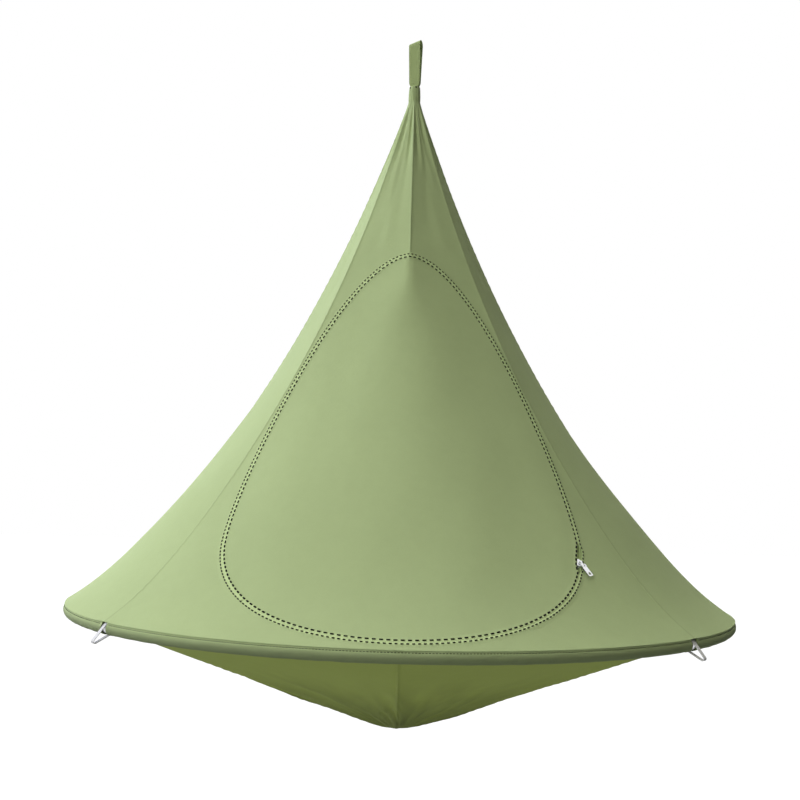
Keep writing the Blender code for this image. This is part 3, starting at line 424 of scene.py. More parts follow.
def ridge(value, half):
    """A rounded ridge of height 1 between -half and half."""
    t = min(1.0, abs(value) / half)
    return (1 - t * t) ** 2


def noise_at(*spot):
    return noise.noise(Vector(spot))


def running_lengths(points):
    """Lengths along a row of points, from 0 at the first."""
    lengths = [0.0]
    for a, b in zip(points, points[1:]):
        lengths.append(lengths[-1] + (b - a).length)
    return lengths


def locate(keys, key):
    """The step of a rising row of keys that a key lies in, and its share there."""
    k = min(max(bisect.bisect_right(keys, key) - 1, 0), len(keys) - 2)
    return k, (key - keys[k]) / (keys[k + 1] - keys[k])


def ring_point(azimuth, radius, level=0.0):
    return Vector((radius * math.sin(azimuth), -radius * math.cos(azimuth), level))


def tangent(azimuth):
    """The level direction in which the azimuth grows."""
    return Vector((math.cos(azimuth), math.sin(azimuth), 0.0))


# Surfaces of the tent; heights count from the canopy's rim


def canopy_radius(height):
    drop = CANOPY_RISE - height
    body = HOOP_OUTER_RADIUS - NECK_RADIUS - FLARE
    sweep = (math.exp(SWEEP * drop / CANOPY_RISE) - 1) / (math.exp(SWEEP) - 1)
    return NECK_RADIUS + body * sweep + FLARE * math.exp(-height / FLARE_HEIGHT)


def canopy_slope(height):
    nudge = 0.0005
    change = canopy_radius(height + nudge) - canopy_radius(height - nudge)
    return math.atan2(-change, 2 * nudge)


def door_crease(height):
    start, end = DOOR_TOP_HEIGHT - CREASE_FADE, DOOR_TOP_HEIGHT - CREASE_END
    return DOOR_CREASE * (1 - smoothstep(start, end, height))


def section_factor(azimuth, height):
    """Gores pull flat between their seams high up and follow the hoop low down."""
    crease = door_crease(height)
    flat = smoothstep(FLAT_START, FLAT_FULL, height / CANOPY_RISE)
    turn = abs((azimuth + math.pi) % (2 * math.pi) - math.pi)
    if turn < 2 * crease:
        turn = crease + turn * turn / (4 * crease)
    off_middle = (turn % SECTOR) - SECTOR / 2
    factor = (math.cos(SECTOR / 2) / math.cos(off_middle)) ** flat
    drop = CANOPY_RISE - height
    reach = smoothstep(PLEAT_START, PLEAT_FULL, drop)
    reach *= 1 - smoothstep(PLEAT_FADE, PLEAT_REACH, drop)
    wave = (1 - math.cos(2 * math.pi * PLEATS_PER_GORE * turn / SECTOR)) / 2
    return factor * (1 - PLEAT_DEPTH * reach * wave)


def canopy_point(azimuth, height, lift=0.0):
    """A point of the canopy's outer face, lifted off it by lift."""
    slope = canopy_slope(height)
    radius = canopy_radius(height) * section_factor(azimuth, height)
    level = height + lift * math.sin(slope) - EYE_HEIGHT
    return ring_point(azimuth, radius + lift * math.cos(slope), level)


def front_azimuth(x, height):
    """The azimuth that the front view shows at x and a height."""
    azimuth = 0.0
    radius = canopy_radius(height)
    for _ in range(8):
        reach = radius * section_factor(azimuth, height)
        azimuth = math.asin(max(-1.0, min(1.0, x / reach)))
    return azimuth


def front_point(x, height, lift=0.0):
    return canopy_point(front_azimuth(x, height), height, lift)


def surface_normal(x, height):
    step = 0.002
    across = front_point(x + step, height) - front_point(x - step, height)
    up = front_point(x, height + step) - front_point(x, height - step)
    return across.cross(up).normalized()


def bowl_height(radius):
    tip = BOWL_TIP_ROUNDNESS
    share = (radius / BOWL_EDGE) ** 2 + tip**2
    fall = (math.sqrt(1 + tip**2) - math.sqrt(share)) / (math.sqrt(1 + tip**2) - tip)
    return -BOWL_EDGE_DROP - (BOWL_DEPTH - BOWL_EDGE_DROP) * fall


def bowl_point(azimuth, radius, lift=0.0):
    """A point of the bowl's outer face, lifted off it, down being positive."""
    off_middle = (azimuth % SECTOR) - SECTOR / 2
    flat = 1 - smoothstep(BOWL_ROUND_FROM, 1.0, radius / BOWL_EDGE)
    reach = radius * (math.cos(SECTOR / 2) / math.cos(off_middle)) ** flat
    return ring_point(azimuth, reach, bowl_height(radius) - lift - EYE_HEIGHT)


def hoop_point(azimuth, angle, distance):
    """A point round the hoop's tube; angle 0 points out and 90 degrees up."""
    level = distance * math.sin(angle) + HOOP_LEVEL
    return ring_point(azimuth, HOOP_RADIUS + distance * math.cos(angle), level)


class Profile:
    """Arc lengths up the canopy, from the rim to the neck."""

    def __init__(self, low, high):
        self.heights = spread(low, high, 600)
        self.arcs = [0.0]
        for a, b in zip(self.heights, self.heights[1:]):
            run = canopy_radius(b) - canopy_radius(a)
            self.arcs.append(self.arcs[-1] + math.hypot(b - a, run))

    def arc(self, height):
        k, share = locate(self.heights, height)
        return lerp(self.arcs[k], self.arcs[k + 1], share)

    def height(self, arc):
        k, share = locate(self.arcs, arc)
        return lerp(self.heights[k], self.heights[k + 1], share)


class DoorLine:
    """The zip line on the canopy, as a smooth curve."""

    def __init__(self):
        foot = Vector((0.0, DOOR_BOTTOM_HEIGHT))
        side = Vector((DOOR_HALF_WIDTH, DOOR_WIDEST_HEIGHT))
        top = Vector((0.0, DOOR_TOP_HEIGHT))
        out_of_foot = foot + Vector((DOOR_BOTTOM_PULL, 0.0))
        into_side = side - Vector((0.0, DOOR_CORNER_PULL))
        out_of_side = side + Vector((0.0, DOOR_SIDE_PULL))
        into_top = top + Vector((DOOR_TOP_PULL, 0.0))
        lower = (foot, out_of_foot, into_side, side)
        upper = (side, out_of_side, into_top, top)
        self.path = [self.curve(lower, i / 400) for i in range(400)]
        self.path += [self.curve(upper, i / 400) for i in range(401)]
        self.lengths = running_lengths(self.path)
        self.step_length = self.lengths[-1] / (DOOR_STEPS / 2)
        self.kept = {}

    def curve(self, points, t):
        a, b, c, d = points
        s = 1 - t
        return a * s**3 + b * (3 * s * s * t) + c * (3 * s * t * t) + d * t**3

    def smooth(self, step):
        turned = step % DOOR_STEPS
        side = 1.0
        if turned > DOOR_STEPS / 2:
            turned = DOOR_STEPS - turned
            side = -1.0
        k, share = locate(self.lengths, turned * self.step_length)
        spot = self.path[k].lerp(self.path[k + 1], share)
        return Vector((side * spot.x, spot.y))

    def place(self, step):
        """Front-view position at a step, straight where the slider sits."""
        spot = self.smooth(step)
        away = abs(step % DOOR_STEPS - SLIDER_STEP)
        straight = 1 - smoothstep(0.22, 0.60, away)
        if straight > 0:
            low = math.floor(step)
            chord = self.smooth(low).lerp(self.smooth(low + 1), step - low)
            spot = spot.lerp(chord, straight)
        return spot

    def axes(self, step):
        """Position, direction along the zip, side away from the door, normal."""
        key = round(step, 5)
        if key not in self.kept:
            x, height = self.place(step)
            behind = front_point(*self.place(step - 0.5))
            ahead = front_point(*self.place(step + 0.5))
            along = (ahead - behind).normalized()
            normal = surface_normal(x, height)
            side = along.cross(normal).normalized()
            self.kept[key] = (front_point(x, height), along, side, normal)
        return self.kept[key]

    def ahead(self, step, distance):
        start, along, _, _ = self.axes(step)
        return step + distance / (self.axes(step + 1)[0] - start).dot(along)

    def point(self, step, offset, lift):
        """A point beside the zip line, on the canopy's face or lifted off it."""
        position, _, side, _ = self.axes(step)
        beside = position + side * offset
        return front_point(beside.x, beside.z + EYE_HEIGHT, lift)

    def row(self, steps, offset, lift):
        """Points beside the zip line at an offset for each step, and their normals."""
        points = [self.point(step, offset(step), lift) for step in steps]
        return points, [self.axes(step)[3] for step in steps]


class Rim:
    """Reach of an outline round the door's centre, by direction in the front view."""

    def __init__(self, offset):
        steps = [i / 8 for i in range(DOOR_STEPS * 8)]
        spots = sorted(self.polar(door_line.point(step, offset, 0.0)) for step in steps)
        first, last = spots[0], spots[-1]
        spots = [(last[0] - 2 * math.pi, last[1])] + spots + [(first[0] + 2 * math.pi, first[1])]
        self.turns = [turn for turn, _ in spots]
        self.reaches = [reach for _, reach in spots]

    def polar(self, point):
        x, rise = point.x, point.z + EYE_HEIGHT - DOOR_CENTRE_HEIGHT
        return math.atan2(rise, x), math.hypot(rise, x)

    def reach(self, turn):
        k, share = locate(self.turns, turn)
        return lerp(self.reaches[k], self.reaches[k + 1], share)

    def away(self, point):
        """Signed distance outside the outline, and 1 m where the door isn't near."""
        if point.y >= 0 or abs(point.x) >= DOOR_HALF_WIDTH + DOOR_MARGIN:
            return 1.0
        turn, reach = self.polar(point)
        return reach - self.reach(turn)


profile = Profile(-0.004, CANOPY_RISE)
door_line = DoorLine()


# Mesh helpers


def bent_grid(across, along, place, weave, closed=False, shade=None):
    """A grid bent by place(u, v), with a UV map of its weave in metres.

    weave(u, v, first) also gets the u of the cell's first column, so that
    neighbouring panels can carry separate cuts of cloth. shade(u, v) is how
    much darker the cloth is there, or how much paler where it is negative.
    """
    columns, rows = len(across) - 1, len(along) - 1
    builder = bmesh.new()
    bmesh.ops.create_grid(builder, x_segments=columns, y_segments=rows, size=0.5)
    # The shade layer holds the seams' own dark lines, and for some pieces painted shade and a
    # painted highlight.
    dark = builder.verts.layers.float.new("shade")
    keys = {}
    for vertex in builder.verts:
        column = round((vertex.co.x + 0.5) * columns)
        row = round((vertex.co.y + 0.5) * rows)
        keys[vertex] = (column, row)
    layer = builder.loops.layers.uv.new("weave")
    for face in builder.faces:
        first = min(keys[loop.vert][0] for loop in face.loops)
        for loop in face.loops:
            column, row = keys[loop.vert]
            loop[layer].uv = weave(across[column], along[row], across[first])
    for vertex, (column, row) in keys.items():
        vertex.co = place(across[column], along[row])
        if shade:
            vertex[dark] = shade(across[column], along[row])
    if closed:
        bmesh.ops.remove_doubles(builder, verts=builder.verts, dist=1e-6)
    return builder


def as_mesh(name, builder):
    mesh = bpy.data.meshes.new(name)
    builder.to_mesh(mesh)
    builder.free()
    return mesh


def absorb(whole, part):
    """Moves one bmesh into another."""
    mesh = as_mesh("part", part)
    whole.from_mesh(mesh)
    bpy.data.meshes.remove(mesh)


def add_object(name, data):
    made = bpy.data.objects.new(name, data)
    bpy.context.scene.collection.objects.link(made)
    return made


def add_piece(name, builder, look, body, slot, replaces=()):
    """A smooth object from a bmesh that rides on a body of the frame."""
    mesh = as_mesh(name, builder)
    mesh.materials.append(named_look(look))
    mesh.shade_smooth()
    made = add_object(name, mesh)
    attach(made, body)
    if replaces:
        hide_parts(*replaces)
    return made


def thicken(piece, thickness, offset=-1.0, crisp=True):
    """A wall for a sheet; crisp keeps its cut edges from bending its shading."""
    if crisp:
        sheet = bmesh.new()
        sheet.from_mesh(piece.data)
        for edge in sheet.edges:
            edge.smooth = not edge.is_boundary
        sheet.to_mesh(piece.data)
        sheet.free()
    wall = piece.modifiers.new("wall", "SOLIDIFY")
    wall.thickness = thickness
    wall.offset = offset
    wall.use_rim = True
    wall.use_even_offset = False


def fill_hole(builder, reach=math.inf):
    """Closes what is open, or only what is open near the tent's axis."""
    edges = [e for e in builder.edges if e.is_boundary and e.verts[0].co.xy.length < reach]
    bmesh.ops.holes_fill(builder, edges=edges, sides=0)


def axes_matrix(position, x_axis, y_axis, z_axis):
    turned = Matrix((x_axis, y_axis, z_axis)).transposed().to_4x4()
    return Matrix.Translation(position) @ turned


def stitch_frames(points, normals, pitch, closed=False):
    """Frames at even spacing along a row of points, as close to a pitch as fits."""
    if closed:
        points = points + points[:1]
        normals = normals + normals[:1]
    lengths = running_lengths(points)
    count = max(1, round(lengths[-1] / pitch))
    frames = []
    for i in range(count):
        k, share = locate(lengths, (i + 0.5) * lengths[-1] / count)
        along = (points[k + 1] - points[k]).normalized()
        side = normals[k].cross(along).normalized()
        spot = points[k].lerp(points[k + 1], share)
        frames.append(axes_matrix(spot, along, side, along.cross(side)))
    return frames


def stitches(frames, size, rings=3):
    """Rounded stitches: one small blunt bar in each frame."""
    whole = bmesh.new()
    shape = Matrix.Diagonal((*size, 1.0))
    upright = Matrix.Rotation(math.pi / 2, 4, "Y")
    for start in range(0, len(frames), STITCH_BATCH):
        part = bmesh.new()
        for spot in frames[start : start + STITCH_BATCH]:
            bar = bmesh.ops.create_uvsphere(
                part, u_segments=6, v_segments=rings, radius=0.5, matrix=upright
            )
            for vertex in bar["verts"]:
                if 0.1 < abs(vertex.co.x) < 0.48:
                    vertex.co *= STITCH_BLUNTNESS
            bmesh.ops.transform(part, matrix=spot @ shape, verts=bar["verts"])
        absorb(whole, part)
    return whole


# Materials


class Wiring:
    """Adds and joins the nodes of one tree; an input may be fed a socket or a value."""

    def __init__(self, tree):
        self.tree = tree

    def feed(self, node, values):
        for key, value in values.items():
            if isinstance(value, bpy.types.NodeSocket):
                self.tree.links.new(value, node.inputs[key])
            else:
                node.inputs[key].default_value = value

    def node(self, kind, values=None, **settings):
        node = self.tree.nodes.new(kind)
        for key, value in settings.items():
            setattr(node, key, value)
        self.feed(node, values or {})
        return node

    def maths(self, operation, *values, clamp=False):
        values = dict(enumerate(values))
        return self.node("ShaderNodeMath", values, operation=operation, use_clamp=clamp).outputs[0]

    def grain(self, vector, scale, detail=2.0, roughness=0.5):
        values = {"Vector": vector, "Scale": scale, "Detail": detail, "Roughness": roughness}
        return self.node("ShaderNodeTexNoise", values).outputs["Fac"]

    def mix(self, factor, a, b):
        return self.node("ShaderNodeMix", {0: factor, 6: a, 7: b}, data_type="RGBA").outputs[2]

    def brighten(self, colour, amount):
        values = {0: colour, "Scale": amount}
        return self.node("ShaderNodeVectorMath", values, operation="SCALE").outputs[0]

    def bump(self, height, distance):
        return self.node("ShaderNodeBump", {"Height": height, "Distance": distance}).outputs[0]

    def place(self):
        return self.node("ShaderNodeTexCoord").outputs["Object"]

    def background_rays(self):
        """1 for the rays that see the white background, and 0 for the others."""
        rays = self.node("ShaderNodeLightPath").outputs
        seen = self.maths("MAXIMUM", rays["Is Camera Ray"], rays["Is Glossy Ray"])
        return self.maths("MAXIMUM", seen, rays["Is Transmission Ray"])


def tint(colour, share=1.0):
    """A colour with its alpha, made darker or paler."""
    return (*(c * share for c in colour), 1.0)


def new_group(name, inputs):
    """A node group of cloth, with input sockets as (name, kind, default)."""
    tree = bpy.data.node_groups.new(name, "ShaderNodeTree")
    for label, kind, value in inputs:
        socket = tree.interface.new_socket(name=label, in_out="INPUT", socket_type=kind)
        if value is not None:
            socket.default_value = value
    tree.interface.new_socket(name="Colour", in_out="OUTPUT", socket_type="NodeSocketColor")
    for label in ("Roughness", "Height"):
        tree.interface.new_socket(name=label, in_out="OUTPUT", socket_type="NodeSocketFloat")
    wires = Wiring(tree)
    return wires, wires.node("NodeGroupInput").outputs, wires.node("NodeGroupOutput")


def canvas_group():
    """Plain canvas: yarns that cross, slubs, and a soft change of colour."""
    wires, given, end = new_group(
        "woven_canvas",
        (
            ("Weave", "NodeSocketVector", None),
            ("Place", "NodeSocketVector", None),
            ("Colour", "NodeSocketColor", PLAIN_GREEN),
            ("Yarn", "NodeSocketFloat", 0.0007),
            ("Fade", "NodeSocketFloat", 0.08),
            ("Shade", "NodeSocketFloat", 0.0),
        ),
    )
    split = wires.node("ShaderNodeSeparateXYZ", {0: given["Weave"]}).outputs
    turn = wires.maths("DIVIDE", 2 * math.pi, given["Yarn"])
    warp, weft = (wires.maths("SINE", wires.maths("MULTIPLY", split[axis], turn)) for axis in "XY")
    slub = wires.grain(given["Weave"], 420.0, 3.0, 0.6)
    patch = wires.grain(given["Place"], 3.1, 3.0, 0.55)
    fleck = wires.grain(given["Place"], 46.0, 4.0, 0.65)
    tone = wires.maths("MULTIPLY_ADD", patch, 0.65, wires.maths("MULTIPLY", fleck, 0.35))
    tone = wires.maths("MULTIPLY", wires.maths("SUBTRACT", tone, 0.5), given["Fade"])
    yarn = wires.maths("MULTIPLY", wires.maths("SUBTRACT", slub, 0.5), 0.10)
    light = wires.maths("ADD", wires.maths("MULTIPLY_ADD", tone, 2.4, 1.0), yarn)
    # Shade darkens for seam lines and painted shade, and brightens for a painted highlight where it
    # is negative.
    light = wires.maths("MULTIPLY", light, wires.maths("SUBTRACT", 1.0, given["Shade"]))
    wires.feed(end, {
        "Colour": wires.brighten(given["Colour"], light),
        "Roughness": wires.maths("MULTIPLY_ADD", slub, 0.12, 0.78),
        "Height": wires.maths("MULTIPLY_ADD", wires.maths("MULTIPLY", warp, weft), 0.35, slub),
    })
    return wires.tree


def webbing_group():
    """Herringbone webbing: ribs along it, crossed by slanted yarns."""
    wires, given, end = new_group(
        "herringbone_webbing",
        (
            ("Weave", "NodeSocketVector", None),
            ("Colour", "NodeSocketColor", PLAIN_GREEN),
            ("Rib", "NodeSocketFloat", 0.0022),
        ),
    )
    split = wires.node("ShaderNodeSeparateXYZ", {0: given["Weave"]}).outputs
    tooth = wires.maths("PINGPONG", wires.maths("DIVIDE", split["X"], given["Rib"]), 1.0)
    rib = wires.maths("SINE", wires.maths("MULTIPLY", tooth, math.pi))
    lean = wires.maths("MULTIPLY_ADD", tooth, 1.6, wires.maths("DIVIDE", split["Y"], 0.0011))
    yarn = wires.maths("SINE", wires.maths("MULTIPLY", lean, 2 * math.pi))
    height = wires.maths("MULTIPLY_ADD", rib, 0.55, wires.maths("MULTIPLY", yarn, 0.30))
    fibre = wires.grain(given["Weave"], 900.0, 2.0, 0.6)
    tone = wires.maths("MULTIPLY_ADD", height, 0.16, wires.maths("MULTIPLY_ADD", fibre, 0.22, 0.80))
    wires.feed(end, {
        "Colour": wires.brighten(given["Colour"], tone),
        "Roughness": wires.maths("MULTIPLY_ADD", fibre, 0.15, 0.62),
        "Height": wires.maths("MULTIPLY_ADD", fibre, 0.3, height),
    })
    return wires.tree


def start_material(name):
    made = bpy.data.materials.new(name)
    made.use_nodes = True
    return Wiring(made.node_tree), made.node_tree.nodes["Principled BSDF"]


def lay_cloth(wires, shader, group, colour, values, bump):
    """Joins a cloth's group to its shader; the weave follows the cut of each panel."""
    weave = wires.node("ShaderNodeUVMap", uv_map="weave").outputs[0]
    cloth = wires.node("ShaderNodeGroup", node_tree=group)
    wires.feed(cloth, {"Colour": tint(colour), "Weave": weave, **values})
    wires.feed(shader, {
        "Base Color": cloth.outputs["Colour"],
        "Roughness": cloth.outputs["Roughness"],
        "Normal": wires.bump(cloth.outputs["Height"], bump),
    })


def canvas_look(name, colour, group, fade=0.08, sheen=0.06, bump=0.00022):
    """Canvas with a low sheen, darker where a piece's shade says so."""
    wires, shader = start_material(name)
    # The shade attribute brings the seams' dark lines, painted shade and a painted highlight.
    shade = wires.node("ShaderNodeAttribute", attribute_name="shade").outputs["Fac"]
    values = {"Fade": fade, "Place": wires.place(), "Shade": shade}
    lay_cloth(wires, shader, group, colour, values, bump)
    wires.feed(shader, {
        "Sheen Weight": sheen,
        "Sheen Roughness": 0.5,
        "Sheen Tint": (0.92, 0.96, 0.94, 1.0),
        "Specular IOR Level": 0.04,
    })


def webbing_look(name, colour, group, rib=0.0022, bump=0.00035):
    wires, shader = start_material(name)
    lay_cloth(wires, shader, group, colour, {"Rib": rib}, bump)
    wires.feed(shader, {"Sheen Weight": 0.15, "Sheen Roughness": 0.4, "Specular IOR Level": 0.06})


def thread_look(name, colour):
    """Thread and coil: fine fibres, some darker than others."""
    wires, shader = start_material(name)
    fibres = wires.grain(wires.place(), 1400.0, 2.0, 0.6)
    wires.feed(shader, {
        "Base Color": wires.mix(fibres, tint(colour, 0.7), tint(colour, 1.5)),
        "Roughness": wires.maths("MULTIPLY_ADD", fibres, 0.2, 0.45),
        "Specular IOR Level": 0.08,
        "Normal": wires.bump(fibres, 0.0002),
    })


def metal_look(name, colour, roughness, scratch):
    """Bright metal with fine scratches and a little dulling."""
    wires, shader = start_material(name)
    place = wires.place()
    values = {"Vector": place, "Scale": (1.0, 1.0, 0.08)}
    fine = wires.grain(wires.node("ShaderNodeMapping", values).outputs[0], 2200.0, 3.0, 0.7)
    cloud = wires.grain(place, 160.0)
    wear = wires.maths("MULTIPLY_ADD", fine, scratch, wires.maths("MULTIPLY", cloud, 0.10))
    wires.feed(shader, {
        "Base Color": wires.mix(cloud, tint(colour, 0.90), tint(colour)),
        "Roughness": wires.maths("ADD", wear, roughness),
        "Metallic": 1.0,
        "Normal": wires.bump(fine, 0.00003),
    })


def named_look(name):
    look = bpy.data.materials.get(name)
    if look is None:
        raise RuntimeError(f"the material {name} isn't made yet")
    return look


class TENT_OT_materials(Operator):
    """Make the materials of the cloth, webbing, thread and metal"""

    bl_idname = "tent.materials"
    bl_label = "Materials"

    def execute(self, context):
        colours = context.scene.tent_colours
        canvas = canvas_group()
        webbing = webbing_group()
        canvas_look("canopy_canvas", colours.canopy, canvas)
        canvas_look("bowl_canvas", colours.bowl, canvas, 0.09)
        canvas_look("hem_canvas", colours.canopy, canvas, 0.06)
        canvas_look("zip_tape_cloth", colours.tape, canvas, 0.03, 0.15, 0.0001)
        webbing_look("green_webbing", colours.webbing, webbing)
        webbing_look("tie_tape", colours.tie, webbing, 0.0011, 0.0002)
        thread_look("dark_thread", colours.thread)
        thread_look("coil_nylon", colours.tape)
        metal_look("plated_zinc", colours.metal, 0.16, 0.10)
        metal_look("drawn_aluminium", ALUMINIUM, 0.26, 0.16)
        return {"FINISHED"}


# Canopy, door and bowl


def seam_offset(azimuth, radius):
    """Signed distance to the nearest seam and that seam's number."""
    seam = round(azimuth / SECTOR)
    return (azimuth - seam * SECTOR) * radius, seam % GORES


def wave_field(a, b, seed):
    """A smooth field of waves, about -1 to 1."""
    return noise_at(a, b, seed * 7.3) * 1.6


def seam_shown(seam, height):
    """The front seam ends at the doorway's top; the others run to the hoop."""
    if seam:
        return 1.0
    return smoothstep(DOOR_TOP_HEIGHT - 0.01, DOOR_TOP_HEIGHT + 0.02, height)


def seam_relief(offset, run, drift):
    """A felled seam's ridge, and the puckers that beat along its run beside it."""
    cloth = bpy.context.scene.tent_cloth
    beat = math.cos(2 * math.pi * (run / cloth.pucker_pitch + drift))
    puckers = cloth.pucker * math.exp(-abs(offset) / PUCKER_REACH) * beat
    return cloth.seam_ridge * ridge(offset, cloth.seam_half) + puckers


def panel_share(azimuth):
    """0 on the seams and 1 in the middle of a gore."""
    return abs(math.sin(math.pi * azimuth / SECTOR))


def tie_room(offset, seam, distance):
    """0 where the cloth lies flat beside a tie loop, at a distance from the hoop."""
    if seam % 2 == 0:
        return 1.0
    return lerp(smoothstep(0.0, 0.055, distance), 1.0, smoothstep(0.008, 0.030, abs(offset)))


def canopy_relief(azimuth, height, away):
    """How far the cloth stands off its smooth face; away is the door's distance."""
    cloth = bpy.context.scene.tent_cloth
    radius = canopy_radius(height)
    drop = CANOPY_RISE - height
    offset, seam = seam_offset(azimuth, radius)
    arc = profile.arc(height)
    scale = min(1.0, radius / RELIEF_RADIUS)
    drift = 0.7 * noise_at(arc * 9.0, seam * 3.1, 0.4)
    lift = scale * seam_shown(seam, height) * seam_relief(offset, arc, drift)
    calm = smoothstep(0.0, 0.09, height) * smoothstep(0.0, 0.10, drop)
    calm *= smoothstep(0.010, 0.080, away)
    gore = math.floor(azimuth / SECTOR) % GORES
    wave = wave_field(azimuth * 2.2 + gore * 5.1, arc * 2.6, 1.0)
    wave += 0.5 * wave_field(azimuth * 5.0 + gore * 2.7, arc * 7.5, 2.0)
    lift += cloth.wave * calm * (0.25 + 0.75 * panel_share(azimuth)) * wave * scale
    pull = smoothstep(0.008, 0.03, drop) * (1 - smoothstep(0.05, 0.34, drop))
    bend = 2.5 * noise_at(math.sin(azimuth) * 2, math.cos(azimuth) * 2, arc * 3)
    lift += pull * NECK_FOLD * math.cos(azimuth * 23 + bend) * min(1.0, radius / 0.05)
    edge = math.exp(-max(0.0, height) / FOOT_RIPPLE_REACH) * smoothstep(0.006, 0.060, away)
    beat = 2 * math.pi * azimuth * HOOP_OUTER_RADIUS / FOOT_RIPPLE_PITCH
    lift += edge * FOOT_RIPPLE * math.cos(beat + 2 * wave)
    lift *= tie_room(offset, seam, height)
    if seam % 2:
        over = 1 - smoothstep(0.009, 0.022, abs(offset))
        lift += TIE_LIFT * over * (1 - smoothstep(0.006, 0.045, height))
    return lift


def canopy_shade(azimuth, height):
    """A felled seam's darker line."""
    radius = canopy_radius(height)
    offset, seam = seam_offset(azimuth, radius)
    shown = min(1.0, radius / 0.06) * seam_shown(seam, height)
    return SEAM_SHADE * shown * ridge(offset, SEAM_SHADE_HALF)


def gore_columns():
    """Column keys round the tent: a gore's number and a column within it."""
    keys = [(gore, column) for gore in range(GORES) for column in range(2 * HALF_COLUMNS)]
    return keys + [(GORES, 0)]


def gore_turns(radius):
    """Offsets of the columns from a seam to the middle of a gore, as shares."""
    half = radius * SECTOR / 2
    tight = min(1.0, half / 0.045)
    offsets = [d * tight for d in NEAR_SEAM]
    offsets += spread(offsets[-1], half, PANEL_COLUMNS)[1:]
    return [d / half for d in offsets]


def column_azimuth(key, radius):
    gore, column = key
    shares = gore_turns(radius)
    if column <= HALF_COLUMNS:
        share = shares[column]
    else:
        share = 2 - shares[2 * HALF_COLUMNS - column]
    return (gore + share / 2) * SECTOR


def gore_weave(azimuth, radius, run, first):
    """A place in the weave, with a cut of cloth of its own for each gore."""
    middle = (first[0] + 0.5) * SECTOR
    return ((azimuth - middle) * radius + first[0], run)


def clip_to(builder, rim):
    """Cuts away what lies inside an outline on the front of the tent."""
    values = {vertex: rim.away(vertex.co) for vertex in builder.verts}
    crossing = []
    for edge in builder.edges:
        a, b = edge.verts
        if (values[a] < 0) != (values[b] < 0):
            crossing.append(edge)
    born = []
    for edge in crossing:
        a, b = edge.verts
        share = values[a] / (values[a] - values[b])
        _, vertex = bmesh.utils.edge_split(edge, a, min(0.999, max(0.001, share)))
        values[vertex] = 0.0
        born.append(vertex)
    bmesh.ops.connect_verts(builder, verts=born)
    inside = [f for f in builder.faces if all(values[v] <= 0 for v in f.verts)]
    bmesh.ops.delete(builder, geom=inside, context="FACES")


class TENT_OT_canopy(Operator):
    """Make the canopy's cloth with its seams, pleats and doorway"""

    bl_idname = "tent.canopy"
    bl_label = "Canopy"

    def execute(self, context):
        total = profile.arc(CANOPY_RISE)
        low = profile.arc(CANOPY_FOOT)
        arcs = [lerp(low, total, (i / 150) ** 1.2) for i in range(151)]
        rim = Rim(HEM_OVERLAP)

        def spot(key, arc):
            height = min(CANOPY_RISE, profile.height(arc))
            return column_azimuth(key, canopy_radius(height)), height

        def place(key, arc):
            azimuth, height = spot(key, arc)
            away = rim.away(canopy_point(azimuth, height))
            return canopy_point(azimuth, height, canopy_relief(azimuth, height, away))

        def weave(key, arc, first):
            azimuth, height = spot(key, arc)
            return gore_weave(azimuth, canopy_radius(height), arc, first)

        def shade(key, arc):
            return canopy_shade(*spot(key, arc))

        builder = bent_grid(gore_columns(), arcs, place, weave, closed=True, shade=shade)
        clip_to(builder, rim)
        nodes = [f"canopy_gore_{where}" for where in GORE_NAMES]
        canopy = add_piece("canopy", builder, "canopy_canvas", "tent", "canopy_cloth", nodes)
        thicken(canopy, CLOTH)
        return {"FINISHED"}


class TENT_OT_door(Operator):
    """Make the door's panel of cloth"""

    bl_idname = "tent.door"
    bl_label = "Door"

    def execute(self, context):
        cloth = context.scene.tent_cloth
        rim = Rim(-HEM_OVERLAP)
        turns = spread(-math.pi, math.pi, 224)
        shares = [(i / 44) ** 0.85 for i in range(45)]

        def spot(share, turn):
            reach = rim.reach(turn) * share
            return reach * math.cos(turn), DOOR_CENTRE_HEIGHT + reach * math.sin(turn)

        def place(share, turn):
            x, height = spot(share, turn)
            away = rim.reach(turn) * (1 - share)
            wave = wave_field(x * 4.2, height * 2.4, 5.0)
            wave += 0.45 * wave_field(x * 11.0 + 3.0, height * 6.0, 6.0)
            lift = cloth.wave * DOOR_WAVES * wave * smoothstep(0.0, 0.09, away)
            lift += DOOR_RIPPLE * math.exp(-away / 0.012) * math.cos(turn * DOOR_RIPPLES)
            return front_point(x, height, lift)

        def weave(share, turn, first):
            x, height = spot(share, turn)
            azimuth = front_azimuth(x, height)
            return (azimuth * canopy_radius(height) + 20.0, profile.arc(height))

        builder = bent_grid(shares, turns, place, weave, closed=True)
        door = add_piece("door", builder, "canopy_canvas", "door", "door_cloth", ["door_flap"])
        thicken(door, CLOTH)
        long = profile.arc(DOOR_TOP_HEIGHT) - profile.arc(DOOR_BOTTOM_HEIGHT)
        return {"FINISHED"}


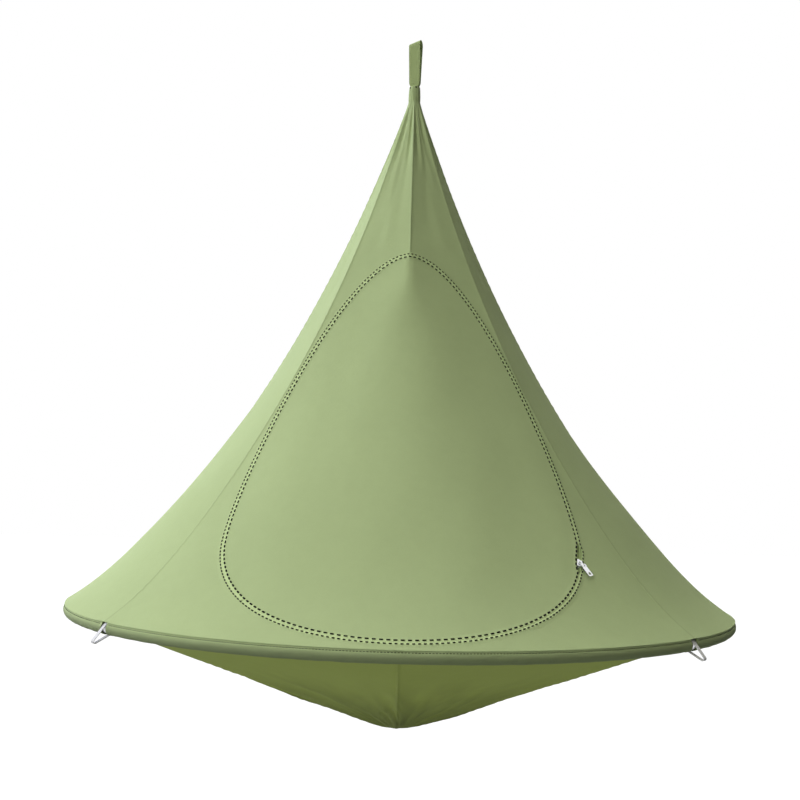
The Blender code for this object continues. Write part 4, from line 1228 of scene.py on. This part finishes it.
class TENT_OT_bowl(Operator):
    """Make the bowl's cloth with its seams"""

    bl_idname = "tent.bowl"
    bl_label = "Bowl"

    def execute(self, context):
        cloth = context.scene.tent_cloth
        radii = [lerp(BOWL_HOLE, BOWL_EDGE, (i / 64) ** 0.9) for i in range(65)]

        def turn(key, radius):
            return column_azimuth(key, max(radius, BOWL_COLUMN_RADIUS))

        def place(key, radius):
            azimuth = turn(key, radius)
            inside = BOWL_EDGE - radius
            offset, seam = seam_offset(azimuth, radius)
            scale = min(1.0, radius / RELIEF_RADIUS)
            drift = 0.8 * noise_at(radius * 8, seam * 2.3, 3.3)
            lift = scale * seam_relief(offset, radius, drift)
            gore = math.floor(azimuth / SECTOR) % GORES
            wave = wave_field(azimuth * 2.6 + gore * 4.0, radius * 6.0, 9.0)
            calm = smoothstep(0.0, 0.06, inside) * scale
            lift += cloth.wave * BOWL_WAVES * wave * calm * (0.2 + 0.8 * panel_share(azimuth))
            lift += self.wrinkle(azimuth, radius) * BOWL_WRINKLE
            edge = math.exp(-inside / 0.030) * (1 - math.exp(-inside / 0.006))
            beat = azimuth * BOWL_EDGE / BOWL_RIPPLE_PITCH + 1.4 * wave
            lift += edge * BOWL_RIPPLE * math.cos(2 * math.pi * beat)
            return bowl_point(azimuth, radius, lift * tie_room(offset, seam, inside))

        def weave(key, radius, first):
            return gore_weave(turn(key, radius), radius, radius * 1.07 + 3.0, first)

        def shade(key, radius):
            azimuth = turn(key, radius)
            offset, _ = seam_offset(azimuth, radius)
            # Painted shade: the bowl grows darker towards its tip, underneath the tent.
            tip_shade = BOWL_TIP_PAINTED_SHADE * (1 - smoothstep(0.02, 0.56, radius))
            line = BOWL_SEAM_SHADE * ridge(offset, BOWL_SEAM_SHADE_HALF)
            line *= min(1.0, radius / 0.05)
            # The wrinkles' term is painted shade that follows their relief; the seam's dark line is
            # the cloth's own.
            return tip_shade + line + BOWL_WRINKLE_PAINTED_SHADE * self.wrinkle(azimuth, radius)

        builder = bent_grid(gore_columns(), radii, place, weave, closed=True, shade=shade)
        fill_hole(builder, 0.01)
        nodes = [f"bowl_gore_{where}" for where in GORE_NAMES]
        bowl = add_piece("bowl", builder, "bowl_canvas", "tent", "bowl_cloth", nodes)
        thicken(bowl, CLOTH)
        return {"FINISHED"}

    def wrinkle(self, azimuth, radius):
        """Slanting wrinkles in the lower half of the bowl, about -1 to 1; they lift the cloth and
        set painted shade on it.
        """
        seam = round(azimuth / SECTOR)
        off = azimuth - seam * SECTOR
        shown = smoothstep(0.03, 0.12, radius) * (1 - smoothstep(0.36, 0.60, radius))
        spot = Vector((off * 15.0 + radius * 5.0, radius * 4.0 + (seam % GORES) * 3.7, 2.6))
        return shown * (noise.noise(spot) + 0.5 * noise.noise(spot * 2.3)) * 1.3


# Hems, zip and stitches round the door


def slider_share(step, room, soft):
    """1 where the slider runs, with room at both ends, and 0 away from there."""
    low = door_line.ahead(SLIDER_STEP, -SLIDER_LENGTH / 2) - room
    high = door_line.ahead(SLIDER_STEP, SLIDER_TRAVEL + SLIDER_LENGTH / 2) + room
    turned = step % DOOR_STEPS
    return smoothstep(low - soft, low, turned) * (1 - smoothstep(high, high + soft, turned))


def hem_edge(step):
    """Distance from the zip line to the hems, which part where the slider runs."""
    return lerp(HEM_SLIT, HEM_PARTED, slider_share(step, 0.03, 0.30))


def row_offset(step):
    """Distance from the zip line to the stitches in the hems."""
    row = bpy.context.scene.tent_thread.row_offset
    return max(row, hem_edge(step) + HEM_ROW_GAP)


def hem_band(name, sign, body, slot):
    """The doubled cloth beside the zip line, with a dip under its stitches and a painted highlight
    on its edge.
    """
    height = bpy.context.scene.tent_cloth.hem
    pitch = bpy.context.scene.tent_thread.bold_pitch
    stations = [("edge", d) for d in (0.0, 0.0003, HEM_BEND)]
    stations += [("row", d) for d in (-HEM_BEND, -0.0003, 0.0, 0.0003, HEM_BEND)]
    stations += [("rest", share) for share in (0.08, 0.18, 0.35, 0.55, 0.75, 0.9, 1.0)]
    if sign < 0:
        stations.reverse()

    def offset_at(station, step):
        kind, value = station
        if kind == "edge":
            return hem_edge(step) + value
        if kind == "row":
            return row_offset(step) + value
        return lerp(row_offset(step) + HEM_BEND, HEM_WIDTH, value)

    def place(station, step):
        offset = offset_at(station, step)
        arc = step * door_line.step_length
        off_row = offset - row_offset(step)
        rise = smoothstep(0.0, HEM_BEND, offset - hem_edge(step))
        fall = smoothstep(0.0010, HEM_WIDTH - row_offset(step), off_row)
        lift = lerp(lerp(height - 0.0003, height, rise), HEM_SUNK, fall)
        lift += HEM_BEAT * math.cos(2 * math.pi * arc / pitch) * ridge(off_row, 0.004) * rise
        lift += HEM_BEAT * noise_at(arc * 24.0, sign * 4.0, 0.0) * rise * (1 - fall)
        lift -= HEM_ROW_DIP * ridge(off_row, HEM_BEND)
        return door_line.point(step % DOOR_STEPS, sign * offset, lift)

    def weave(station, step, first):
        return (sign * offset_at(station, step) + 40.0 * sign, step * door_line.step_length)

    # Painted highlight: the hem's raised edge, between the zip and its stitches, is made paler as
    # if lit.
    def shade(station, step):
        off_row = offset_at(station, step) - row_offset(step)
        return -HEM_PAINTED_HIGHLIGHT * (1 - smoothstep(0.0004, 0.0022, off_row))

    steps = spread(0, DOOR_STEPS, HEM_STEPS)
    builder = bent_grid(stations, steps, place, weave, closed=True, shade=shade)
    thicken(add_piece(name, builder, "hem_canvas", body, slot), HEM_THICK)


def tape_ribbon(name, near, far, steps, body, replaces=(), slot="zip_tape_weave",
                lift=TAPE_LIFT, thick=CLOTH):
    """A flat ribbon beside the zip line from one offset, or offset(step), to another."""

    def place(share, step):
        start = near(step) if callable(near) else near
        low, high = sorted((start, far))
        return door_line.point(step % DOOR_STEPS, lerp(low, high, share), lift)

    def weave(share, step, first):
        return (lerp(0.0, far, share) + 60.0, step * door_line.step_length)

    builder = bent_grid(spread(0.0, 1.0, 4), steps, place, weave)
    thicken(add_piece(name, builder, "zip_tape_cloth", body, slot, replaces), thick)


def slit_half(step):
    """Half the slit between the zip's halves: wider where the slider runs."""
    return lerp(ZIP_SLIT, POST_SLIT, slider_share(step, 0.30, 0.20)) / 2


def coil_teeth(name, sign, first, last, body, replaces):
    """The turns of a nylon coil: small bars across the edge of the tape."""
    steps = spread(first, last, COIL_STEPS)

    def offset(step):
        return sign * (slit_half(step) + COIL_OFFSET)

    row = door_line.row(steps, offset, TAPE_LIFT + COIL_LIFT)
    teeth = stitches(stitch_frames(*row, COIL_PITCH), COIL_TURN)
    add_piece(name, teeth, "coil_nylon", body, "zip_coil_nylon", replaces)


class TENT_OT_zip(Operator):
    """Make the hems, tapes and coil of the door's zip"""

    bl_idname = "tent.zip"
    bl_label = "Zip and hems"

    def execute(self, context):
        first, last = ZIP_END_STEP, ZIP_START_STEP
        below = door_line.ahead(SLIDER_STEP, -SLIDER_LENGTH / 2)
        above = door_line.ahead(SLIDER_STEP, SLIDER_TRAVEL + SLIDER_LENGTH / 2 + SLIDER_ROOM)
        hem_band("doorway_hem", 1, "tent", "canopy_cloth")
        hem_band("door_hem", -1, "door", "door_cloth")
        steps = spread(first, last, 360)
        tape_ribbon("frame_tape", slit_half, TAPE_WIDTH, steps, "tent", ["zip_tape_frame"])
        steps = spread(above, last, 340)
        tape_ribbon(
            "door_tape", lambda step: -slit_half(step), -TAPE_WIDTH, steps, "door",
            ["zip_tape_door"],
        )
        coil_teeth("frame_coil", 1, first + 0.15, last - 0.15, "tent", ["zip_coil_frame"])
        coil_teeth("door_coil", -1, above + 0.05, last - 0.15, "door", ["zip_coil_door"])
        steps = spread(last - DOOR_STEPS + 0.1, first - 0.1, 100)
        tape_ribbon("sill_band", SILL_LAP, SILL_DEPTH, steps, "tent", ["door_sill_band"])
        steps = spread(below - GUARD_MARGIN, above + GUARD_MARGIN, 80)
        tape_ribbon(
            "slider_guard", *GUARD_OFFSETS, steps, "tent", slot="canopy_cloth",
            lift=GUARD_LIFT, thick=HEM_THICK,
        )
        return {"FINISHED"}


class TENT_OT_door_stitches(Operator):
    """Sew the two rows of dark stitches round the door"""

    bl_idname = "tent.door_stitches"
    bl_label = "Door stitches"

    def execute(self, context):
        thread = context.scene.tent_thread
        size = (thread.bold_length, thread.bold_thick, thread.bold_thick * BOLD_FLATNESS)
        self.row("door_stitches", -1, thread.bold_pitch, size, "door", "door_cloth")
        size = (thread.fine_length, thread.fine_thick, thread.fine_thick * FINE_FLATNESS)
        self.row("doorway_stitches", 1, thread.fine_pitch, size, "tent", "canopy_cloth")
        return {"FINISHED"}

    def row(self, name, sign, pitch, size, body, slot):
        """A closed row of stitches beside the zip line."""
        steps = [i * DOOR_STEPS / DOOR_ROW_STEPS for i in range(DOOR_ROW_STEPS)]
        row = door_line.row(steps, lambda step: sign * row_offset(step), DOOR_ROW_LIFT)
        frames = stitch_frames(*row, pitch, closed=True)
        add_piece(name, stitches(frames, size, rings=4), "dark_thread", body, slot)


# Hoop


class TENT_OT_hoop(Operator):
    """Make the hoop's tubes, its sewn sleeve and the row of stitches over it"""

    bl_idname = "tent.hoop"
    bl_label = "Hoop and sleeve"

    def execute(self, context):
        for index in range(GORES):
            self.tube(index)
        for index, where in enumerate(SLEEVE_NAMES):
            self.sleeve(index, where)
        return {"FINISHED"}

    def tube(self, index):
        """A bent tube: a circle spun round the tent's axis."""
        start = (index + 0.5) * SECTOR + GAP / HOOP_RADIUS
        foot = ring_point(start, HOOP_RADIUS, HOOP_LEVEL)
        spot = axes_matrix(foot, ring_point(start, 1.0), UP, -tangent(start))
        builder = bmesh.new()
        bmesh.ops.create_circle(
            builder, cap_ends=False, segments=28, radius=TUBE_RADIUS, matrix=spot
        )
        ring = builder.verts[:] + builder.edges[:]
        bmesh.ops.spin(
            builder, geom=ring, cent=(0, 0, HOOP_LEVEL), axis=(0, 0, 1), steps=24,
            angle=SECTOR - GAP / HOOP_RADIUS, use_merge=False, use_duplicate=False,
        )
        fill_hole(builder)
        bmesh.ops.recalc_face_normals(builder, faces=builder.faces)
        name, node = f"tube_{index + 1}", f"hoop_tube_{index + 1}"
        tube = add_piece(name, builder, "drawn_aluminium", "tent", "aluminium_tube", [node])
        tube.data.set_sharp_from_angle(angle=math.radians(40))

    def sleeve(self, index, where):
        """A quarter of the pole sleeve, hemmed at both open ends."""
        notch = SLEEVE_NOTCH / 2 / HOOP_RADIUS
        start = (2 * index - 1) * SECTOR + notch
        end = (2 * index + 1) * SECTOR - notch
        hem = SLEEVE_HEM / HOOP_RADIUS
        azimuths = [start + hem * share for share in (0.0, 0.1, 0.8, 1.0)]
        azimuths += spread(start + hem * 1.15, end - hem * 1.15, 280)
        azimuths += [end - hem * share for share in (1.0, 0.8, 0.1, 0.0)]
        turns = (-30, -20, -13, -8, -4, 0, 4, 8, 13, 20, 30, *range(45, 331, 15))
        angles = [SLEEVE_FIN_ANGLE + math.radians(turn) for turn in turns]

        def place(angle, azimuth):
            along = azimuth * HOOP_RADIUS
            off = math.degrees((angle - SLEEVE_FIN_ANGLE + math.pi) % (2 * math.pi) - math.pi)
            fin = ridge(off, SLEEVE_FIN_HALF)
            inside = min(azimuth - start, end - azimuth) * HOOP_RADIUS
            reach = SLEEVE_OUTER + SLEEVE_FIN * fin
            reach += SLEEVE_HEM_RISE * (1 - smoothstep(0.0072, 0.0090, inside))
            fold = (1 - fin) * noise_at(along * 42.0, angle * 1.4, index * 3.0)
            reach += SLEEVE_FOLD * fold * smoothstep(0.004, 0.02, inside)
            beat = math.cos(2 * math.pi * along / SLEEVE_PUCKER_PITCH)
            reach += SLEEVE_PUCKER * beat * ridge(abs(off) - 17.0, 12.0)
            return hoop_point(azimuth, angle, reach)

        def weave(angle, azimuth, first):
            return (angle * SLEEVE_OUTER + 80.0, azimuth * HOOP_RADIUS)

        # Painted shade: the sleeve grows darker towards its underside, as if in shadow.
        def shade(angle, azimuth):
            return SLEEVE_UNDERSIDE_PAINTED_SHADE * smoothstep(0.75, -0.15, math.sin(angle))

        builder = bent_grid(angles, azimuths, place, weave, closed=True, shade=shade)
        bmesh.ops.reverse_faces(builder, faces=builder.faces)
        name, node = f"pole_sleeve_{where}", f"sleeve_{where}"
        sleeve = add_piece(name, builder, "canopy_canvas", "tent", "canopy_cloth", [node])
        thicken(sleeve, DOUBLED_CLOTH)
        self.sleeve_row(where, start + hem * 0.3, end - hem * 0.3)

    def sleeve_row(self, where, start, end):
        """The row of stitches that closes the sleeve under its fin."""
        points, normals = [], []
        for turn in spread(start, end, 240):
            axis, out = (hoop_point(turn, SLEEVE_ROW_ANGLE, reach) for reach in (0.0, 1.0))
            points.append(hoop_point(turn, SLEEVE_ROW_ANGLE, SLEEVE_OUTER + 0.0002))
            normals.append(out - axis)
        row = stitches(stitch_frames(points, normals, SLEEVE_STITCH_PITCH), SLEEVE_STITCH)
        add_piece(f"sleeve_stitches_{where}", row, "dark_thread", "tent", "canopy_cloth")


class TENT_OT_webbing(Operator):
    """Make the load webbing inside the canopy and the star inside the bowl"""

    bl_idname = "tent.webbing"
    bl_label = "Load webbing"

    def execute(self, context):
        for index in range(GORES):
            self.strap(index)
        self.star()
        return {"FINISHED"}

    def strap(self, index):
        """A strap up one seam; the front one starts over the doorway."""
        seam = index * SECTOR
        foot = WEB_FOOT if index else DOOR_TOP_HEIGHT + TAPE_WIDTH + WEB_OVER_DOOR

        def place(side, share):
            height = lerp(foot, CANOPY_RISE - 0.001, share**1.2)
            depth = WEB_DEPTH
            if index == 0:
                depth = lerp(FRONT_WEB_DEPTH, WEB_DEPTH, smoothstep(0.0, 0.3, share))
            radius = canopy_radius(height)
            room = (radius - depth - WEB_THICK) * math.tan(SECTOR / 2) - 2 * GAP
            return canopy_point(seam + side * min(WEB_WIDTH / 2, room) / radius, height, -depth)

        def weave(side, share, first):
            return (side * WEB_WIDTH / 2, share * 1.5 + index)

        builder = bent_grid(WEB_SIDES, spread(0.0, 1.0, 90), place, weave)
        name, node = f"seam_webbing_{index + 1}", f"canopy_strap_{index + 1}"
        strap = add_piece(name, builder, "green_webbing", "tent", "load_webbing", [node])
        thicken(strap, WEB_THICK)

    def star(self):
        """Four bands of webbing that cross over the tip of the bowl."""
        whole = bmesh.new()
        whole.loops.layers.uv.new("weave")
        end = BOWL_EDGE - 0.002
        for band in range(GORES // 2):
            turn = band * SECTOR

            def place(side, run):
                spot = ring_point(turn, run) + tangent(turn) * (side * WEB_WIDTH / 2)
                reach = max(spot.length, 0.0001)
                stretch = bowl_point(math.atan2(spot.x, -spot.y), reach).xy.length / reach
                spot.z = bowl_height(reach / stretch) - EYE_HEIGHT + CLOTH
                spot.z += STAR_RISE + STAR_LAYER * band * (1 - smoothstep(0.01, 0.09, abs(run)))
                return spot

            def weave(side, run, first):
                return (side * WEB_WIDTH / 2, run + band * 2)

            absorb(whole, bent_grid(WEB_SIDES, spread(-end, end, 96), place, weave))
        star = add_piece(
            "bowl_star", whole, "green_webbing", "tent", "load_webbing", ["bowl_webbing"]
        )
        thicken(star, WEB_THICK)


# Neck, hanging loop and ties


def belt_path(far, far_radius, near_radius, count):
    """Points round two circles, one at (0, 0) and one at (far, 0), closed."""
    lean = math.acos((near_radius - far_radius) / far)

    def arc(middle, radius, first, last):
        turns = spread(first, last, count)
        return [Vector((middle + radius * math.cos(a), radius * math.sin(a))) for a in turns]

    near = arc(0.0, near_radius, lean, 2 * math.pi - lean)
    away = arc(far, far_radius, -lean, lean)
    shares = spread(0, 1, count * 2)[1:]
    out = [near[-1].lerp(away[0], t) for t in shares[:-1]]
    back = [away[-1].lerp(near[0], t) for t in shares]
    return near + out + away + back


def band_piece(name, path, place, width, look, body, slot, replaces, thick):
    """A closed loop of webbing with rounded edges."""
    arcs = running_lengths(path)

    def bent(side, i):
        return place(path[i], side)

    def weave(side, i, first):
        return (side * width / 2, arcs[i])

    builder = bent_grid(BAND_SIDES, list(range(len(path))), bent, weave, closed=True)
    piece = add_piece(name, builder, look, body, slot, replaces)
    thicken(piece, thick, 0.0, crisp=False)
    soft = piece.modifiers.new("soft_edge", "BEVEL")
    soft.width = thick * 0.3
    soft.segments = 2
    soft.limit_method = "ANGLE"
    soft.angle_limit = math.radians(50)


class TENT_OT_neck(Operator):
    """Make the bound neck, the hanging loop and its dark bar tacks"""

    bl_idname = "tent.neck"
    bl_label = "Neck and loop"

    def execute(self, context):
        self.collar()
        self.loop()
        self.tacks()
        return {"FINISHED"}

    def collar(self):
        """Gathered cloth bound round the loop's foot."""
        on_canopy = ((-0.018, 0.0001), (-0.014, 0.0004), (-0.009, 0.0007), (-0.004, 0.0008))
        on_neck = (
            (0.001, 0.0008), (0.008, 0.0008), (0.015, 0.0006), (0.022, 0.0003),
            (0.030, 0.0), (0.036, -0.0002), (0.0392, -0.0004), (0.0406, -0.0012),
            (0.0410, -0.0030), (0.0404, -0.0070), (0.0398, -0.0120),
        )
        rows = [(canopy_radius(CANOPY_RISE + level) + out, level) for level, out in on_canopy]
        rows += [(NECK_RADIUS + out, level) for level, out in on_neck]

        def place(azimuth, row):
            radius, level = rows[row]
            section = section_factor(azimuth, CANOPY_RISE + min(0.0, level))
            radius *= lerp(section, 1.0, smoothstep(-0.006, 0.014, level))
            if radius > 0.008:
                shown = smoothstep(0.0400, 0.0300, level) * smoothstep(-0.018, -0.004, level)
                fold = math.cos(azimuth * 19 + 1.3 * math.sin(azimuth * 3))
                fold += 0.5 * math.cos(azimuth * 31 + 2)
                radius += COLLAR_FOLD * shown * fold
            return ring_point(azimuth, radius, CANOPY_RISE + level - EYE_HEIGHT)

        def weave(azimuth, row, first):
            return (azimuth * NECK_RADIUS + 90.0, rows[row][1])

        azimuths = spread(0.0, 2 * math.pi, 144)
        builder = bent_grid(azimuths, list(range(len(rows))), place, weave, closed=True)
        fill_hole(builder, 0.008)
        collar = add_piece(
            "collar", builder, "canopy_canvas", "tent", "load_webbing", ["neck_collar"]
        )
        thicken(collar, DOUBLED_CLOTH)

    def loop(self):
        crest = LOOP_RADIUS - LOOP_THICK / 2
        far = LOOP_ROOT_DEPTH + LOOP_DROP - (LOOP_RADIUS - LOOP_THICK)
        path = belt_path(far, crest, LOOP_ROOT_RADIUS - LOOP_THICK / 2, 24)

        def place(point, side):
            rise, off = point[0] - LOOP_ROOT_DEPTH, point[1]
            share = smoothstep(0.0, LOOP_DROP, rise)
            half = lerp(LOOP_FOOT_WIDTH, LOOP_WIDTH, share)
            half = lerp(LOOP_ROOT_WIDTH, half, smoothstep(0.0, LOOP_FLARE, rise)) / 2 * side
            level = rise - LOOP_DROP + half * math.tan(LOOP_SLANT) * share
            return tangent(LOOP_TURN) * half - ring_point(LOOP_TURN, off, -level)

        band_piece(
            "loop", path, place, LOOP_WIDTH, "green_webbing", "tent", "load_webbing",
            ["hanging_loop"], LOOP_THICK,
        )

    def tacks(self):
        """Two bar tacks on each side of the collar, each a few turns of thread."""
        frames = []
        for x in (-TACK_SIDE, TACK_SIDE):
            for k in range(TACK_TURNS):
                for side in (-1, 1):
                    along = x + (k - TACK_TURNS // 2) * TACK_PITCH
                    out = tangent(LOOP_TURN) * along - ring_point(LOOP_TURN, side * TACK_FACE)
                    out.normalize()
                    spot = out * TACK_RADIUS - UP * (LOOP_DROP + TACK_DROP)
                    frames.append(axes_matrix(spot, UP, out.cross(UP).normalized(), out))
        tacks = stitches(frames, TACK)
        add_piece("bar_tacks", tacks, "dark_thread", "tent", "load_webbing")


class TENT_OT_ties(Operator):
    """Make the four white tie loops on the hoop"""

    bl_idname = "tent.ties"
    bl_label = "Tie loops"

    def execute(self, context):
        hole = TUBE_RADIUS + TIE_CLEARANCE + TIE_THICK / 2 + 0.0001
        path = belt_path(TIE_REACH, TIE_END_RADIUS + TIE_THICK / 2, hole, 26)
        for index in range(4):
            azimuth = (2 * index + 1) * SECTOR
            along = ring_point(azimuth, math.cos(TIE_DROOP), -math.sin(TIE_DROOP))
            width = tangent(azimuth)
            across = width.cross(along)
            centre = hoop_point(azimuth, 0.0, 0.0)

            def place(point, side):
                spot = centre + along * point[0] + across * point[1]
                return spot + width * (side * TIE_WIDTH / 2)

            band_piece(
                f"tie_band_{index + 1}", path, place, TIE_WIDTH, "tie_tape", f"tie_{index + 1}",
                "white_tape", [f"tie_loop_{index + 1}"], TIE_THICK,
            )
        return {"FINISHED"}


class TENT_OT_fittings(Operator):
    """Give the slider, its link and pull a plated finish, and the stops the coil's nylon"""

    bl_idname = "tent.fittings"
    bl_label = "Slider and stops"

    def execute(self, context):
        for names, look in ((METAL_PIECES, "plated_zinc"), (NYLON_PIECES, "coil_nylon")):
            for name in names:
                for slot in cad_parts[name].material_slots:
                    slot.material = named_look(look)
        return {"FINISHED"}


# Studio


class TENT_OT_stage(Operator):
    """Set up the floor, the plain light and the camera"""

    bl_idname = "tent.stage"
    bl_label = "Studio"

    def execute(self, context):
        studio = context.scene.tent_studio
        self.camera(context, studio)
        self.floor(studio)
        self.world(context, studio)
        context.scene.view_settings.view_transform = "Standard"
        return {"FINISHED"}

    def camera(self, context, studio):
        lens = bpy.data.cameras.new("camera")
        lens.sensor_width = SENSOR
        lens.lens = LENS
        lens.shift_x = LENS_SHIFT
        lens.clip_end = 60.0
        eye = add_object("camera", lens)
        pitch, roll = studio.camera_pitch, studio.camera_roll
        right = Vector((1.0, 0.0, 0.0))
        up = Vector((0.0, -math.sin(pitch), math.cos(pitch)))
        ahead = Vector((0.0, math.cos(pitch), math.sin(pitch)))
        turned_right = right * math.cos(roll) + up * math.sin(roll)
        turned_up = up * math.cos(roll) - right * math.sin(roll)
        place = Vector((0.0, -studio.camera_distance, studio.camera_height))
        eye.matrix_world = axes_matrix(place, turned_right, turned_up, -ahead)
        context.scene.camera = eye

    def floor(self, studio):
        """A grey floor that the camera sees as white."""
        builder = bmesh.new()
        spot = Matrix.Translation((0, 0, solid_box[0][2] - studio.floor_drop))
        bmesh.ops.create_grid(
            builder, x_segments=2, y_segments=2, size=FLOOR_SIZE, matrix=spot
        )
        wires, shader = start_material("pale_floor")
        wires.feed(shader, {
            "Base Color": tint([studio.floor_grey] * 3),
            "Roughness": 0.9,
            "Specular IOR Level": 0.0,
            "Emission Color": WHITE,
            "Emission Strength": wires.maths("MULTIPLY", wires.background_rays(), FLOOR_GLOW),
        })
        mesh = as_mesh("floor", builder)
        mesh.materials.append(named_look("pale_floor"))
        add_object("floor", mesh)

    def world(self, context, studio):
        """A white world for the camera, and a soft dome of light on one side."""
        world = bpy.data.worlds.new("studio")
        context.scene.world = world
        world.use_nodes = True
        wires = Wiring(world.node_tree)
        ray = wires.node("ShaderNodeTexCoord").outputs["Generated"]
        values = {0: ray, 1: Vector(studio.dome_side).normalized()}
        dot = wires.node("ShaderNodeVectorMath", values, operation="DOT_PRODUCT")
        facing = dot.outputs["Value"]
        values = {"Value": facing, "To Max": studio.dome}
        values.update({"From Min": -studio.dome_blend, "From Max": studio.dome_blend})
        ramp = wires.node("ShaderNodeMapRange", values, interpolation_type="SMOOTHSTEP")
        seen = wires.background_rays()
        lit = wires.maths("MULTIPLY", wires.maths("SUBTRACT", 1.0, seen), ramp.outputs["Result"])
        inward = wires.maths("MULTIPLY", facing, 1.2, clamp=True)
        rim = wires.maths("MULTIPLY_ADD", inward, 1 - RIM_SHARE, RIM_SHARE)
        dome = wires.mix(inward, tint(studio.dome_rim), tint(studio.dome_middle))
        wires.feed(world.node_tree.nodes["Background"], {
            "Color": wires.mix(seen, dome, WHITE),
            "Strength": wires.maths("MULTIPLY_ADD", lit, rim, seen),
        })


class TENT_PT_panel(Panel):
    """Builds the tent's pieces and its studio one by one"""

    bl_idname = "TENT_PT_panel"
    bl_label = "Hanging tent"
    bl_space_type = "VIEW_3D"
    bl_region_type = "UI"
    bl_category = "Hanging tent"

    def draw(self, context):
        layout = self.layout
        for step in STEPS:
            layout.operator(step.bl_idname)
        for group in ("tent_cloth", "tent_thread", "tent_colours", "tent_studio"):
            settings = getattr(context.scene, group)
            box = layout.box()
            for key in settings.__annotations__:
                box.prop(settings, key)


STEPS = (
    TENT_OT_materials,
    TENT_OT_stage,
    TENT_OT_canopy,
    TENT_OT_door,
    TENT_OT_bowl,
    TENT_OT_zip,
    TENT_OT_door_stitches,
    TENT_OT_hoop,
    TENT_OT_webbing,
    TENT_OT_neck,
    TENT_OT_ties,
    TENT_OT_fittings,
)
GROUPS = {
    "tent_cloth": TentCloth,
    "tent_thread": TentThread,
    "tent_colours": TentColours,
    "tent_studio": TentStudio,
}


def register():
    for name, group in GROUPS.items():
        bpy.utils.register_class(group)
        setattr(bpy.types.Scene, name, PointerProperty(type=group))
    for step in STEPS:
        bpy.utils.register_class(step)
    bpy.utils.register_class(TENT_PT_panel)


def unregister():
    bpy.utils.unregister_class(TENT_PT_panel)
    for step in reversed(STEPS):
        bpy.utils.unregister_class(step)
    for name, group in reversed(list(GROUPS.items())):
        delattr(bpy.types.Scene, name)
        bpy.utils.unregister_class(group)


def main():
    register()
    bpy.ops.tent.materials()
    bpy.ops.tent.stage()
    bpy.ops.tent.canopy()
    bpy.ops.tent.door()
    bpy.ops.tent.bowl()
    bpy.ops.tent.zip()
    bpy.ops.tent.door_stitches()
    bpy.ops.tent.hoop()
    bpy.ops.tent.webbing()
    bpy.ops.tent.neck()
    bpy.ops.tent.ties()
    bpy.ops.tent.fittings()


if __name__ == "__main__":
    main()
